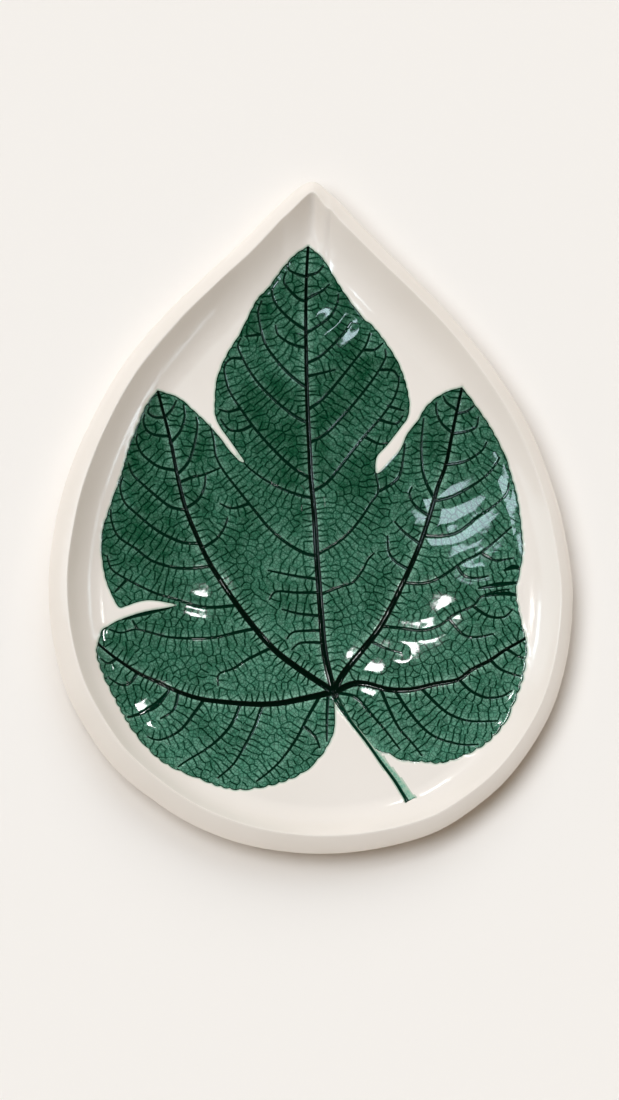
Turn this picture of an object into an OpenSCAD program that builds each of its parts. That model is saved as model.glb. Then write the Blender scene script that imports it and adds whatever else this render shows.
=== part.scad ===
// Teardrop serving plate: a hand-made clay slab with a fig leaf pressed into its floor.
// Frame: +Z up, the pointed tip towards +Y, origin on the table under the middle of the plate.

/* [Plate] */
// Length from the pointed tip to the round end
plate_l = 300; // [240:5:360]
// Width across the widest part
plate_w = 222; // [180:2:270]
// Height of the rim above the table
plate_h = 20; // [17:0.5:30]
// Thickness of the clay slab at the floor
slab_t = 7; // [6:0.5:9]

/* [Rim and foot] */
// Width of the rounded edge on the right side, seen from above
rim_w = 4.8; // [4:0.2:7]
// Extra width of the edge on the left side, where it was pressed flatter
rim_left_extra = 3.2; // [0:0.2:4]
// Drop from the top of the rim to its outer edge
rim_drop = 4.4; // [3.4:0.2:6]
// How much lower the rim is on the right than on the left
rim_low = 5; // [0:0.5:6]
// Run of the inside wall, measured flat
wall_run = 8.4; // [7.4:0.2:12]
// Run of the underside from the outer edge to the foot
under_run = 18; // [15:1:28]
// Height of the bare foot below the glazed underside
foot_h = 0.8; // [0.5:0.1:1.5]

/* [Glaze and leaf print] */
// How far the leaf lies from its drawn place, towards the tip
leaf_shift = -2; // [-3:0.5:3]
// Thickness of the white glaze
glaze_t = 0.5; // [0.3:0.1:0.8]
// Depth of the pressed leaf below the clay floor
press_d = 0.8; // [0.5:0.1:1.4]
// Further depth of the vein grooves below the pressed leaf
vein_d = 0.7; // [0.4:0.1:1.2]
// How far the green glaze of the blade lies below the white glaze
green_drop = 0.5; // [0.2:0.1:0.7]
// How far the dark glaze in the veins lies below the green glaze
vein_drop = 0.3; // [0.1:0.1:0.5]

/* [Veins] */
// Width of a main vein at the leaf's stalk
vein_w = 2.4; // [1.6:0.2:3.2]
// Width of a main vein at the tip of its lobe
vein_tip_w = 0.6; // [0.4:0.1:1]
// Width of a side vein where it leaves its main vein
side_vein_w = 1.1; // [0.8:0.1:1.6]
// Width of a side vein at its end
side_vein_tip_w = 0.5; // [0.4:0.1:0.8]
// Width of the stalk where it joins the blade
stem_w = 2.6; // [2:0.2:3.6]
// Diameter of the knot where the stalk meets the main veins
knot_d = 6.4; // [5:0.2:8]
// Width of the stalk at its cut end
stem_end_w = 5; // [3:0.5:6]

/* [Hidden] */

clay_color = [0.86, 0.80, 0.72];
white_color = [0.93, 0.91, 0.87];
green_color = [0.16, 0.45, 0.32];
dark_green = [0.04, 0.20, 0.14];

// Heights above the table
edge_z = plate_h - rim_drop;
floor_z = slab_t + glaze_t;
pocket_z = slab_t - press_d;
groove_z = pocket_z - vein_d;
blade_top = floor_z - green_drop;
vein_top = blade_top - vein_drop;
// How far a cutting shape reaches past the surface that it cuts
cut_past = 1;

// The plate and its leaf are drawn on a sheet of this size and stretched to the sizes above.
drawn_l = 302;
drawn_w = 224;
drawn_floor_in = 13.2;
drawn_left_extra = 3.2;
// The point that all rings of the plate shrink towards
heart = [0, -25];

// Outline of the plate from its tip down the right side, round the end and up the left side
outline = [
    [0, 151], [9, 145], [18, 135.5], [34, 118.5], [49, 103], [64.5, 85.5], [80.5, 63.5], [94.5, 38.5],
    [104.5, 11], [110, -15], [112, -38], [109, -66], [101, -91], [86, -115], [69, -131], [51, -142],
    [26, -149], [0, -151], [-26, -147.5], [-49, -139], [-67, -127.5], [-84, -112.5], [-96, -95],
    [-104.5, -77.5], [-110, -56], [-112, -34], [-110.5, -13], [-105.5, 12], [-95.5, 39.5], [-81, 67],
    [-62, 91], [-45.5, 108], [-30, 123], [-13, 141]
];

// Edge of the leaf, in six stretches between the tips of its main veins
joint = [10, -75];
centre_right_edge = [
    [-1, 126], [5.5, 120], [11, 110.5], [16, 102.5], [22.5, 93.5], [26.5, 90], [31.5, 83.5], [37.5, 73.5],
    [41, 63.5], [42.5, 54], [41.5, 48], [38.5, 43.5], [33, 36], [28.5, 30.5], [28, 24], [30, 24], [34, 28.5],
    [38.5, 34], [41.5, 41], [46, 47], [49, 52.5], [53.5, 57], [58.5, 60], [65, 61.5]
];
right_lobe_edge = [
    [65, 61.5], [69, 56], [73, 50], [76.5, 44.5], [80.5, 37], [84, 29], [86, 22], [88.5, 12.5], [90, 2],
    [91, -12], [89.5, -22], [88, -30], [89.5, -39.5], [90.5, -44.5], [92, -51]
];
right_base_edge = [
    [92, -51], [92.5, -56], [91, -68], [88, -77.5], [83.5, -88.5], [78, -95.5], [72.5, -100], [63.5, -104.5],
    [55.5, -107], [48.5, -106.5], [40, -106], [33.5, -103], [28, -101], [25, -98], [18, -89], [12, -80], joint
];
left_base_edge = [
    joint, [10.5, -86], [10, -93], [7.5, -99], [4, -104.5], [-2, -110.5], [-9.5, -114.5], [-19, -117.5],
    [-30, -119], [-39, -117.5], [-47, -114.5], [-57.5, -110.5], [-65, -106], [-72.5, -98], [-78, -90],
    [-84.5, -77.5], [-88.5, -69], [-91.5, -59.5], [-91, -54]
];
left_lobe_edge = [
    [-91, -54], [-89, -47.5], [-84, -44], [-80, -42], [-71, -39], [-58.5, -36.5], [-61.5, -35], [-69, -34],
    [-74.5, -35], [-78.5, -36.5], [-82, -37], [-85.5, -30.5], [-88, -23], [-89.5, -12], [-89, -2.5],
    [-87, 4.5], [-85, 11], [-81, 23], [-77.5, 35.5], [-74, 44.5], [-71, 52], [-68.5, 56], [-65.5, 60]
];
centre_left_edge = [
    [-65.5, 60], [-61, 59], [-56, 57], [-50.5, 52], [-44, 45.5], [-38.5, 39], [-35, 34], [-30.5, 29],
    [-28.5, 28.5], [-29.5, 32], [-33, 39], [-37, 43.5], [-40.5, 50], [-41, 57], [-40.5, 64], [-38.5, 71],
    [-35, 78.5], [-30.5, 86], [-27, 93.5], [-23, 101.5], [-18, 107], [-12.5, 115], [-7, 121.5], [-1, 126]
];

// Middle lines of the five main veins, from the joint at the stalk to the tip of each lobe
midrib_line = [joint, [6, -57], [4, -32], [2, -4], [0, 27], [-1.5, 60], [-2, 92], [-1, 126]];
left_lobe_line = [
    joint, [-6.5, -63.5], [-16.5, -55], [-26, -43.5], [-38.5, -25], [-48.5, -5.5], [-57, 22], [-62.5, 48.5],
    [-65.5, 60]
];
right_lobe_line = [
    joint, [14, -67], [22, -56.5], [35.5, -35], [46, -11], [52, 7.5], [58, 27], [62, 47.5], [65, 61.5]
];
left_base_line = [
    joint, [-3, -78], [-23.5, -80.5], [-47.5, -78], [-65.5, -70.5], [-82.5, -60.5], [-91, -54]
];
right_base_line = [
    joint, [18, -71.5], [24, -71.5], [33.5, -74], [53.5, -71.5], [63, -69.5], [76.5, -61], [92, -51]
];
stem_line = [joint, [12, -80], [18, -89], [25, -98], [31.5, -109], [39, -119], [41.5, -125]];

// Side veins, each from its main vein towards the edge of the leaf
midrib_sides = [
    [[-1.6, 112], [-5, 113], [-8, 114.5], [-9, 116.5]],
    [[-2, 101], [-5, 102], [-9, 106], [-11.5, 110], [-10.5, 114]],
    [[-2, 88], [-6.5, 91], [-11, 95], [-15, 100], [-16.5, 105.5]],
    [[-1.5, 62], [-10, 69], [-19.5, 82], [-22.5, 96], [-21.5, 99]],
    [[-1, 46], [-14, 55], [-27.5, 72], [-31, 82]],
    [[0.2, 21], [-14.5, 32.5], [-30, 52.5], [-37, 70]],
    [[1, 12], [-6.5, 14], [-16.5, 18.5], [-25, 24.5]],
    [[2.5, -14], [-11, -7.5], [-23.5, 6], [-37, 24], [-41.5, 38]],
    [[-1.3, 112.5], [3, 114], [5, 116.5]],
    [[-1.6, 102], [2, 104], [8, 108.5]],
    [[-1.8, 86.5], [3.5, 90], [8.5, 94], [12, 102]],
    [[-1.7, 73], [3.5, 75.5], [9, 80.5], [16.5, 90]],
    [[-1, 52], [5.5, 57], [18.5, 73.5], [25.5, 86]],
    [[-0.5, 37], [14, 49], [28, 67.5], [32, 77]],
    [[0.5, 15], [13.5, 27], [29.5, 47.5], [38, 66]],
    [[3, -13.5], [11.5, -8], [22, 3.5], [29, 15], [28.5, 21]],
    [[4, -31.5], [18, -26], [24.5, -16], [27, -13]]
];
left_lobe_sides = [
    [[-61, 40], [-66.5, 40.5], [-70, 42.5], [-71.5, 46]],
    [[-57.5, 24.5], [-64.5, 26], [-72.5, 32.5], [-74.5, 37.5]],
    [[-52.8, 6.7], [-59.5, 8], [-71, 17.5], [-78, 27]],
    [[-47.4, -8.3], [-60.5, -5.5], [-74.5, 5], [-81.5, 16]],
    [[-42.5, -18.5], [-59, -19], [-75, -10.5], [-85, 1]],
    [[-31.5, -36], [-48, -36.5], [-57.5, -33.5], [-71, -28.5], [-86, -18.5]],
    [[-23.5, -46.5], [-40.5, -50.5], [-60.5, -50.5], [-75, -47], [-85, -47.5]],
    [[-16.6, -55.1], [-27, -60.5], [-38, -66.5]],
    [[-60.1, 36.9], [-56, 42], [-54, 48.5], [-54.5, 53]],
    [[-57, 22], [-52.5, 28], [-50, 35.5], [-48.5, 44]]
];
right_lobe_sides = [
    [[61, 41], [67, 42], [71, 44], [72, 48]],
    [[58, 27], [66, 28.5], [73, 33], [75.5, 37]],
    [[53.2, 10.7], [60, 12.5], [74.5, 21.5], [81, 30]],
    [[48, -5], [56.5, -5], [71.5, 3.5], [84, 14]],
    [[40, -26], [53, -25], [65.5, -16.5], [80, -6.5], [86, -1]],
    [[29.6, -45.3], [48, -47.5], [62, -40], [73, -32.5], [81, -30]],
    [[61, 41.5], [56.5, 45.5], [54, 51], [54, 54]],
    [[52.6, 9.8], [48.5, 22], [47.5, 36], [48, 46]]
];
left_base_sides = [
    [[4, -77], [-6, -96], [-12.5, -105.5], [-21, -113]],
    [[-20.5, -80.5], [-27.5, -98], [-38, -112]],
    [[-30, -80], [-38.5, -95.5], [-55, -107]],
    [[-45.5, -78], [-56, -92.5], [-67, -96]],
    [[-60, -73], [-65, -81], [-75.5, -86]],
    [[-74, -66], [-78, -71], [-85, -70]]
];
right_base_sides = [
    [[12, -75.5], [19.5, -77.5], [32.5, -93], [38, -100.5]],
    [[30, -73.5], [38, -91.5], [47, -103]],
    [[36, -74], [47.5, -90.5], [64, -98.5], [70, -98.5]],
    [[47, -72.5], [59.5, -85], [79, -88]],
    [[63.5, -69], [72, -76.5], [85, -75]],
    [[77, -60.5], [81.5, -65], [88.5, -68]]
];

// Curves
function span(a, b, c, d, t) = (2 * b + (c - a) * t + (2 * a - 5 * b + 4 * c - d) * t * t
    + (3 * b - a - 3 * c + d) * t * t * t) / 2;
function open_curve(pts, steps) = let (last = len(pts) - 1) concat(
    [for (i = [0:last - 1]) for (k = [0:steps - 1])
        span(pts[max(i - 1, 0)], pts[i], pts[i + 1], pts[min(i + 2, last)], k / steps)],
    [pts[last]]);
function closed_curve(pts, steps) = let (n = len(pts)) [for (i = [0:n - 1]) for (k = [0:steps - 1])
    span(pts[(i + n - 1) % n], pts[i], pts[(i + 1) % n], pts[(i + 2) % n], k / steps)];
function bezier(a, b, c, d, t) = let (u = 1 - t)
    u * u * u * a + 3 * u * u * t * b + 3 * u * t * t * c + t * t * t * d;
function unit(v) = v / norm(v);
function reversed(v) = [for (i = [len(v) - 1:-1:0]) v[i]];

// The plate's outline, with the outward direction and the direction from the heart at each point
outline_steps = 2;
rim_points = [for (p = closed_curve(outline, outline_steps))
    [p[0] * plate_w / drawn_w, p[1] * plate_l / drawn_l]];
rim_count = len(rim_points);
function rim_out(i) =
    let (d = unit(rim_points[(i + 1) % rim_count] - rim_points[(i + rim_count - 1) % rim_count]))
    [-d[1], d[0]];
function rim_ray(i) = unit(rim_points[i] - heart);
function left_share(i) = 0.5 - rim_points[i][0] / plate_w;
// A station of the wall's section: distance in from the outline, height, share of the left side's extra width
function ring(s) = [for (i = [0:rim_count - 1])
    let (step_in = (s[0] + s[2] * rim_left_extra * left_share(i)) / (rim_out(i) * rim_ray(i)))
    concat(rim_points[i] - rim_ray(i) * step_in, s[1] <= floor_z ? s[1]
        : floor_z + (s[1] - floor_z) * (1 - rim_low * (1 - left_share(i)) / (plate_h - floor_z)))];

// Section of the finished surface, from the foot round the outer edge, over the rim and down to the floor
under_steps = 6;
lip_steps = 5;
wall_steps = 7;
// How round each stretch of the section is, as shares of its run, height, drop or depth
foot_round = 0.28;
belly_round = 0.08;
belly_height = 0.53;
edge_round = 0.3;
lip_round = 0.65;
wall_top_round = 0.22;
wall_top_drop = 0.2;
wall_foot_round = 0.5;
wall_depth = plate_h - floor_z;
under_section = [for (k = [0:under_steps - 1]) concat(bezier(
    [under_run, foot_h], [foot_round * under_run, foot_h],
    [belly_round * under_run, belly_height * edge_z], [0, edge_z],
    k / under_steps), 0)];
lip_section = [for (k = [0:lip_steps - 1]) let (p = bezier(
    [0, edge_z], [0, edge_z + edge_round * rim_drop],
    [lip_round * rim_w, plate_h], [rim_w, plate_h], k / lip_steps))
    [p[0], p[1], p[0] / rim_w]];
wall_section = [for (k = [0:wall_steps]) concat(bezier(
    [rim_w, plate_h], [rim_w + wall_top_round * wall_run, plate_h - wall_top_drop * wall_depth],
    [rim_w + wall_foot_round * wall_run, floor_z], [rim_w + wall_run, floor_z], k / wall_steps), 1)];
glaze_section = concat(under_section, lip_section, wall_section);
section_end = len(glaze_section) - 1;
rim_start = under_steps;
wall_start = under_steps + lip_steps;

// Section of the clay, one glaze thickness inside the finished surface
function flat_part(s) = [s[0], s[1]];
function inward(i) = i == 0 ? [0, 1] : i == section_end ? [0, -1]
    : let (d = unit(flat_part(glaze_section[i + 1]) - flat_part(glaze_section[i - 1]))) [d[1], -d[0]];
clay_section = [for (i = [0:section_end]) let (p = flat_part(glaze_section[i]) + glaze_t * inward(i))
    [p[0], p[1], glaze_section[i][2]]];
foot_station = [under_run, 0, 0];

// Skins through a list of section stations: one closed by a flat face at each end, one closed on itself
function band_faces(from, to) = [for (i = [0:rim_count - 1])
    let (j = (i + 1) % rim_count, a = from * rim_count, b = to * rim_count)
    each [[a + i, b + i, b + j], [a + i, b + j, a + j]]];
function ring_points(stations) = [for (s = stations) each ring(s)];
module capped_skin(stations) {
    n = len(stations);
    bottom_face = reversed([for (i = [0:rim_count - 1]) i]);
    top_face = [for (i = [0:rim_count - 1]) (n - 1) * rim_count + i];
    polyhedron(ring_points(stations), concat(
        [bottom_face], [for (s = [0:n - 2]) each band_faces(s, s + 1)], [top_face]));
}
module hoop_skin(stations) {
    n = len(stations);
    polyhedron(ring_points(stations), [for (s = [0:n - 1]) each band_faces(s, (s + 1) % n)]);
}
function stretch_of(section, from, to) = [for (i = [from:to]) section[i]];

// The leaf, stretched so that it keeps its place on the floor of the plate
edge_steps = 2;
vein_steps = 3;
floor_in = rim_w + wall_run;
leaf_x = (plate_w - 2 * floor_in - rim_left_extra) / (drawn_w - 2 * drawn_floor_in - drawn_left_extra);
leaf_y = (plate_l - 2 * floor_in) / (drawn_l - 2 * drawn_floor_in);
function on_floor(pts) = [for (p = pts)
    [rim_left_extra / 2 + (p[0] - drawn_left_extra / 2) * leaf_x, leaf_shift + p[1] * leaf_y]];
function leaf_edge(pts) = on_floor(open_curve(pts, edge_steps));
function vein_path(pts) = on_floor(open_curve(pts, vein_steps));

function path_dir(p, i) = unit(p[min(i + 1, len(p) - 1)] - p[max(i - 1, 0)]);
function path_side(p, w0, w1, turn) = [for (i = [0:len(p) - 1])
    let (d = path_dir(p, i), half = (w0 + (w1 - w0) * i / (len(p) - 1)) / 2)
    p[i] + turn * half * [-d[1], d[0]]];
function run_past(p) = let (last = len(p) - 1) concat(p, [p[last] + cut_past * path_dir(p, last)]);
module strip(path, w0, w1) {
    polygon(concat(path_side(path, w0, w1, 1), reversed(path_side(path, w0, w1, -1))));
}
module leaf_shape() {
    polygon(concat(
        leaf_edge(centre_right_edge), leaf_edge(right_lobe_edge), leaf_edge(right_base_edge),
        leaf_edge(left_base_edge), leaf_edge(left_lobe_edge), leaf_edge(centre_left_edge)));
}
module knot_shape() {
    translate(on_floor([joint])[0])
        circle(d = knot_d, $fn = 48);
}
module stem_strip() {
    strip(vein_path(stem_line), stem_w, stem_end_w);
}
module stalk_shapes() {
    knot_shape();
    stem_strip();
}
module main_vein_strip(line) {
    strip(run_past(vein_path(line)), vein_w, vein_tip_w);
}
module main_vein_strips() {
    for (line = [midrib_line, left_lobe_line, right_lobe_line, left_base_line, right_base_line]) {
        main_vein_strip(line);
    }
}
module side_strips(lines) {
    for (line = lines) {
        strip(vein_path(line), side_vein_w, side_vein_tip_w);
    }
}
module all_side_strips() {
    for (lines = [midrib_sides, left_lobe_sides, right_lobe_sides, left_base_sides, right_base_sides]) {
        side_strips(lines);
    }
}

// Pieces of green glaze
module glaze_fill(from_z, to_z) {
    translate([0, 0, from_z])
        linear_extrude(to_z - from_z)
            children();
}
module blade_field(first_line, edge, second_line) {
    color(green_color)
        glaze_fill(pocket_z, blade_top)
            difference() {
                polygon(concat(vein_path(first_line), leaf_edge(edge), reversed(vein_path(second_line))));
                main_vein_strips();
                all_side_strips();
                stalk_shapes();
            }
}
module main_vein(line, cut_lines) {
    color(dark_green)
        glaze_fill(groove_z, vein_top)
            difference() {
                intersection() {
                    main_vein_strip(line);
                    leaf_shape();
                }
                for (other = cut_lines) {
                    main_vein_strip(other);
                }
                stalk_shapes();
            }
}
module side_veins(lines) {
    color(dark_green)
        glaze_fill(groove_z, vein_top)
            difference() {
                intersection() {
                    side_strips(lines);
                    leaf_shape();
                }
                main_vein_strips();
                stalk_shapes();
            }
}

// The clay and its white glaze
module clay_slab() {
    color(clay_color)
        difference() {
            capped_skin(concat([foot_station], clay_section));
            glaze_fill(pocket_z, slab_t + cut_past) leaf_shape();
            glaze_fill(groove_z, slab_t + cut_past) stalk_shapes();
            glaze_fill(groove_z, slab_t) intersection() {
                union() {
                    main_vein_strips();
                    all_side_strips();
                }
                leaf_shape();
            }
        }
}
module inside_glaze() {
    color(white_color)
        difference() {
            capped_skin(concat(
                reversed(stretch_of(clay_section, wall_start, section_end)),
                stretch_of(glaze_section, wall_start, section_end)));
            glaze_fill(slab_t - cut_past, floor_z + cut_past) union() {
                leaf_shape();
                stalk_shapes();
            }
        }
}
module rim_glaze() {
    color(white_color)
        hoop_skin(concat(
            stretch_of(glaze_section, rim_start, wall_start),
            reversed(stretch_of(clay_section, rim_start, wall_start))));
}
module underside_glaze() {
    color(white_color)
        hoop_skin(concat(
            stretch_of(glaze_section, 0, rim_start),
            reversed(stretch_of(clay_section, 0, rim_start))));
}

// The green glaze of the blade, between the main veins
module centre_left_blade() { blade_field(left_lobe_line, centre_left_edge, midrib_line); }
module centre_right_blade() { blade_field(midrib_line, centre_right_edge, right_lobe_line); }
module left_lobe_blade() { blade_field(left_base_line, left_lobe_edge, left_lobe_line); }
module right_lobe_blade() { blade_field(right_lobe_line, right_lobe_edge, right_base_line); }
module left_base_blade() { blade_field([joint], left_base_edge, left_base_line); }
module right_base_blade() { blade_field(right_base_line, right_base_edge, [joint]); }

// The dark glaze in the grooves of the veins
module midrib() { main_vein(midrib_line, []); }
module left_lobe_vein() { main_vein(left_lobe_line, [midrib_line]); }
module right_lobe_vein() { main_vein(right_lobe_line, [midrib_line]); }
module left_base_vein() { main_vein(left_base_line, [midrib_line, left_lobe_line]); }
module right_base_vein() { main_vein(right_base_line, [midrib_line, right_lobe_line]); }
module midrib_side_veins() { side_veins(midrib_sides); }
module left_lobe_side_veins() { side_veins(left_lobe_sides); }
module right_lobe_side_veins() { side_veins(right_lobe_sides); }
module left_base_side_veins() { side_veins(left_base_sides); }
module right_base_side_veins() { side_veins(right_base_sides); }
module stalk_knot() {
    color(dark_green)
        glaze_fill(groove_z, vein_top)
            knot_shape();
}
module leaf_stem() {
    color(dark_green)
        glaze_fill(groove_z, vein_top)
            difference() {
                stem_strip();
                knot_shape();
            }
}

clay_slab();
inside_glaze();
rim_glaze();
underside_glaze();
centre_left_blade();
centre_right_blade();
left_lobe_blade();
right_lobe_blade();
left_base_blade();
right_base_blade();
midrib();
left_lobe_vein();
right_lobe_vein();
left_base_vein();
right_base_vein();
midrib_side_veins();
left_lobe_side_veins();
right_lobe_side_veins();
left_base_side_veins();
right_base_side_veins();
stalk_knot();
leaf_stem();
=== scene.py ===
# %% [markdown]
# A teardrop plate with a pressed fig leaf.
# The real plate is one rolled slab of clay. A leaf was pressed into it, its edge was turned up, and
# it was fired with a white glaze and a green one. The frame holds the measured solids, and this
# lesson dresses them. Shapes are worked out in millimetres on the plate's own axes and become
# metres when a mesh is made.

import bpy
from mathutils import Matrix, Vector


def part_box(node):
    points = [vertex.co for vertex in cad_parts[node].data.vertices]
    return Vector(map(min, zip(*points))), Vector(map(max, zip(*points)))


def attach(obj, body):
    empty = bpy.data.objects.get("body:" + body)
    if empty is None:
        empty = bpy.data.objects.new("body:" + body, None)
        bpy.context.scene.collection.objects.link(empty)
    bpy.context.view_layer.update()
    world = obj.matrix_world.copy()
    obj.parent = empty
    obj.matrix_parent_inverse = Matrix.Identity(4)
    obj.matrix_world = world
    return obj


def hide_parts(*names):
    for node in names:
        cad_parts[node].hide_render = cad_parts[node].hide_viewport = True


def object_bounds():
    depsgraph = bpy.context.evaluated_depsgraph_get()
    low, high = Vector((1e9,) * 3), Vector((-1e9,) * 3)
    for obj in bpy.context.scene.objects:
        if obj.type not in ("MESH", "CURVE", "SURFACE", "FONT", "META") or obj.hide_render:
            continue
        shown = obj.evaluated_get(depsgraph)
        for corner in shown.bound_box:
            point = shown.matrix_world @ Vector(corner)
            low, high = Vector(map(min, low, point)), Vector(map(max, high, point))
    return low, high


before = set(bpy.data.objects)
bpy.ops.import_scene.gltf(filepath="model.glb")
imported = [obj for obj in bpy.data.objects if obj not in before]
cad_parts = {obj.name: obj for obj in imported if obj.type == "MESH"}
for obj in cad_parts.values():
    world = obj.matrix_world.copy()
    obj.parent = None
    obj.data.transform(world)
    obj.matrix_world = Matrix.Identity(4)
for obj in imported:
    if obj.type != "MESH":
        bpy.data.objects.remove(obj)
cad_box = [list(corner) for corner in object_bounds()]

import math

import bpy
import numpy as np
from mathutils import Vector, geometry, kdtree

MM = 0.001
scene = bpy.context.scene
draws = np.random.default_rng(7)
plate_w, plate_l, plate_h = [(high - low) / MM for low, high in zip(*cad_box)]


def add_object(name, data):
    """A new object in the scene, at the origin."""
    obj = bpy.data.objects.new(name, data)
    scene.collection.objects.link(obj)
    return obj


print("plate", round(plate_w, 1), round(plate_l, 1), round(plate_h, 1), "mm")
print("nodes", len(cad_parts))

# %% [markdown]
# The camera looks down at the plate from its round end.
# The ellipse of the rim in a photograph gives the height of the view: the plate is foreshortened by
# the sine of 71.5 degrees. A very long lens far off keeps all lines parallel, as in a product
# photograph.

# %% Camera
VIEW_RISE = math.radians(71.55)
VIEW_FAR = 12
FRAME_TALL = 0.4655
AIM = Vector((-0.0004, -0.0175, 0.0200))
camera_data = bpy.data.cameras.new("photo_camera")
camera_data.sensor_fit = "VERTICAL"
camera_data.sensor_height = 36
camera_data.lens = camera_data.sensor_height * VIEW_FAR / FRAME_TALL
camera = add_object("photo_camera", camera_data)
camera.location = AIM + VIEW_FAR * Vector((0, -math.cos(VIEW_RISE), math.sin(VIEW_RISE)))
camera.rotation_euler = (AIM - camera.location).to_track_quat("-Z", "Y").to_euler()
scene.camera = camera
print("camera", [round(v, 3) for v in camera.location], "lens", round(camera_data.lens, 1))

# %% [markdown]
# Curves through listed points.
# The outline of the plate, the edge of the leaf and its veins are free curves. Each is drawn with
# the few points it needs, and a Catmull-Rom curve runs through them, the same curve that the solids
# use.


# %% Curves
def span_points(a, b, c, d, t):
    """Points between b and c on the smooth curve through a, b, c and d."""
    t = t[:, None]
    return (2 * b + (c - a) * t + (2 * a - 5 * b + 4 * c - d) * t**2
            + (3 * b - a - 3 * c + d) * t**3) / 2


def open_curve(points, gap):
    """A smooth path through the points, with points about gap apart."""
    p = np.array(points, float)
    last = len(p) - 1
    rows = []
    for i in range(last):
        steps = max(2, math.ceil(np.hypot(*(p[i + 1] - p[i])) / gap))
        t = np.arange(steps) / steps
        rows.append(span_points(p[max(i - 1, 0)], p[i], p[i + 1], p[min(i + 2, last)], t))
    return np.vstack(rows + [p[last:]])


def closed_curve(points, steps):
    """A smooth loop through the points, with the same number of steps in each span."""
    p = np.array(points, float)
    n = len(p)
    t = np.arange(steps) / steps
    return np.vstack([
        span_points(p[i - 1], p[i], p[(i + 1) % n], p[(i + 2) % n], t) for i in range(n)])


def bezier(a, b, c, d, steps):
    """Points of a Bezier curve, without its last one."""
    t = (np.arange(steps) / steps)[:, None]
    a, b, c, d = (np.array(p, float) for p in (a, b, c, d))
    return (1 - t) ** 3 * a + 3 * (1 - t) ** 2 * t * b + 3 * (1 - t) * t**2 * c + t**3 * d


def directions(path):
    """Unit direction along an open path at each of its points."""
    d = np.gradient(path, axis=0)
    return d / np.linalg.norm(d, axis=1)[:, None]


def left_of(path):
    """Unit direction to the left of an open path at each of its points."""
    d = directions(path)
    return np.column_stack([-d[:, 1], d[:, 0]])


def run_along(path):
    """How far along an open path each of its points lies."""
    return np.concatenate([[0], np.cumsum(np.linalg.norm(np.diff(path, axis=0), axis=1))])


def delaunay(points, edges, faces, near):
    """A Delaunay triangulation of points that keeps the given edges and faces."""
    return geometry.delaunay_2d_cdt([Vector(p) for p in points.tolist()], edges, faces, 0, near)


def smooth_step(x, low, high):
    """0 below low, 1 above high and a soft ramp between them."""
    t = np.clip((x - low) / (high - low), 0, 1)
    return t * t * (3 - 2 * t)


print("curves ready")

# %% [markdown]
# The outline of the plate and the section of its edge.
# The maker cut the slab, turned its edge up and rounded the cut with a wet sponge, so one section
# runs all round: underside, rounded lip, inside wall. A sweep along the outline would bunch up at
# the pointed tip. Here each ring is the outline drawn towards one point on the floor instead, which
# never crosses itself.

# %% Outline and section
OUTLINE = [
    (0, 151), (9, 145), (18, 135.5), (34, 118.5), (49, 103), (64.5, 85.5), (80.5, 63.5),
    (94.5, 38.5), (104.5, 11), (110, -15), (112, -38), (109, -66), (101, -91), (86, -115),
    (69, -131), (51, -142), (26, -149), (0, -151), (-26, -147.5), (-49, -139), (-67, -127.5),
    (-84, -112.5), (-96, -95), (-104.5, -77.5), (-110, -56), (-112, -34), (-110.5, -13),
    (-105.5, 12), (-95.5, 39.5), (-81, 67), (-62, 91), (-45.5, 108), (-30, 123), (-13, 141),
]
DRAWN_W, DRAWN_L = 224, 302
HEART = np.array([0, -25])
RIM_W, LEFT_EXTRA, RIM_DROP, RIM_LOW = 4.8, 3.2, 6.2, 5
WALL_RUN, WALL_FADE, UNDER_RUN, FOOT_H = 8.4, 16.5, 18, 0.8
SLAB_T, GLAZE_T = 7, 0.5
FLOOR_Z = SLAB_T + GLAZE_T
EDGE_Z = plate_h - RIM_DROP
FLOOR_IN = RIM_W + WALL_RUN
STEPS_ROUND, UNDER_STEPS, LIP_STEPS, WALL_DRAWN, WALL_STEPS = 20, 14, 20, 80, 26

rim = closed_curve(OUTLINE, STEPS_ROUND) * [plate_w / DRAWN_W, plate_l / DRAWN_L]
RIM_N = len(rim)
along = np.roll(rim, -1, axis=0) - np.roll(rim, 1, axis=0)
outward = np.stack([-along[:, 1], along[:, 0]], 1) / np.linalg.norm(along, axis=1)[:, None]
reach = np.linalg.norm(rim - HEART, axis=1)
ray = (rim - HEART) / reach[:, None]
slant = (outward * ray).sum(axis=1)
left_share = 0.5 - rim[:, 0] / plate_w


def lowered(height, left):
    """Heights above the floor, less towards the right side, where the rim is lower."""
    fall = 1 - RIM_LOW * (1 - left) / (plate_h - FLOOR_Z)
    return np.where(height > FLOOR_Z, FLOOR_Z + (height - FLOOR_Z) * fall, height)


def ring(inset, height, side):
    """One ring: distance in from the outline, height, share of the left side's extra width."""
    step_in = (inset + side * LEFT_EXTRA * left_share) / slant
    level = lowered(np.full(RIM_N, height), left_share)
    return np.column_stack([rim - ray * step_in[:, None], level])


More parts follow.
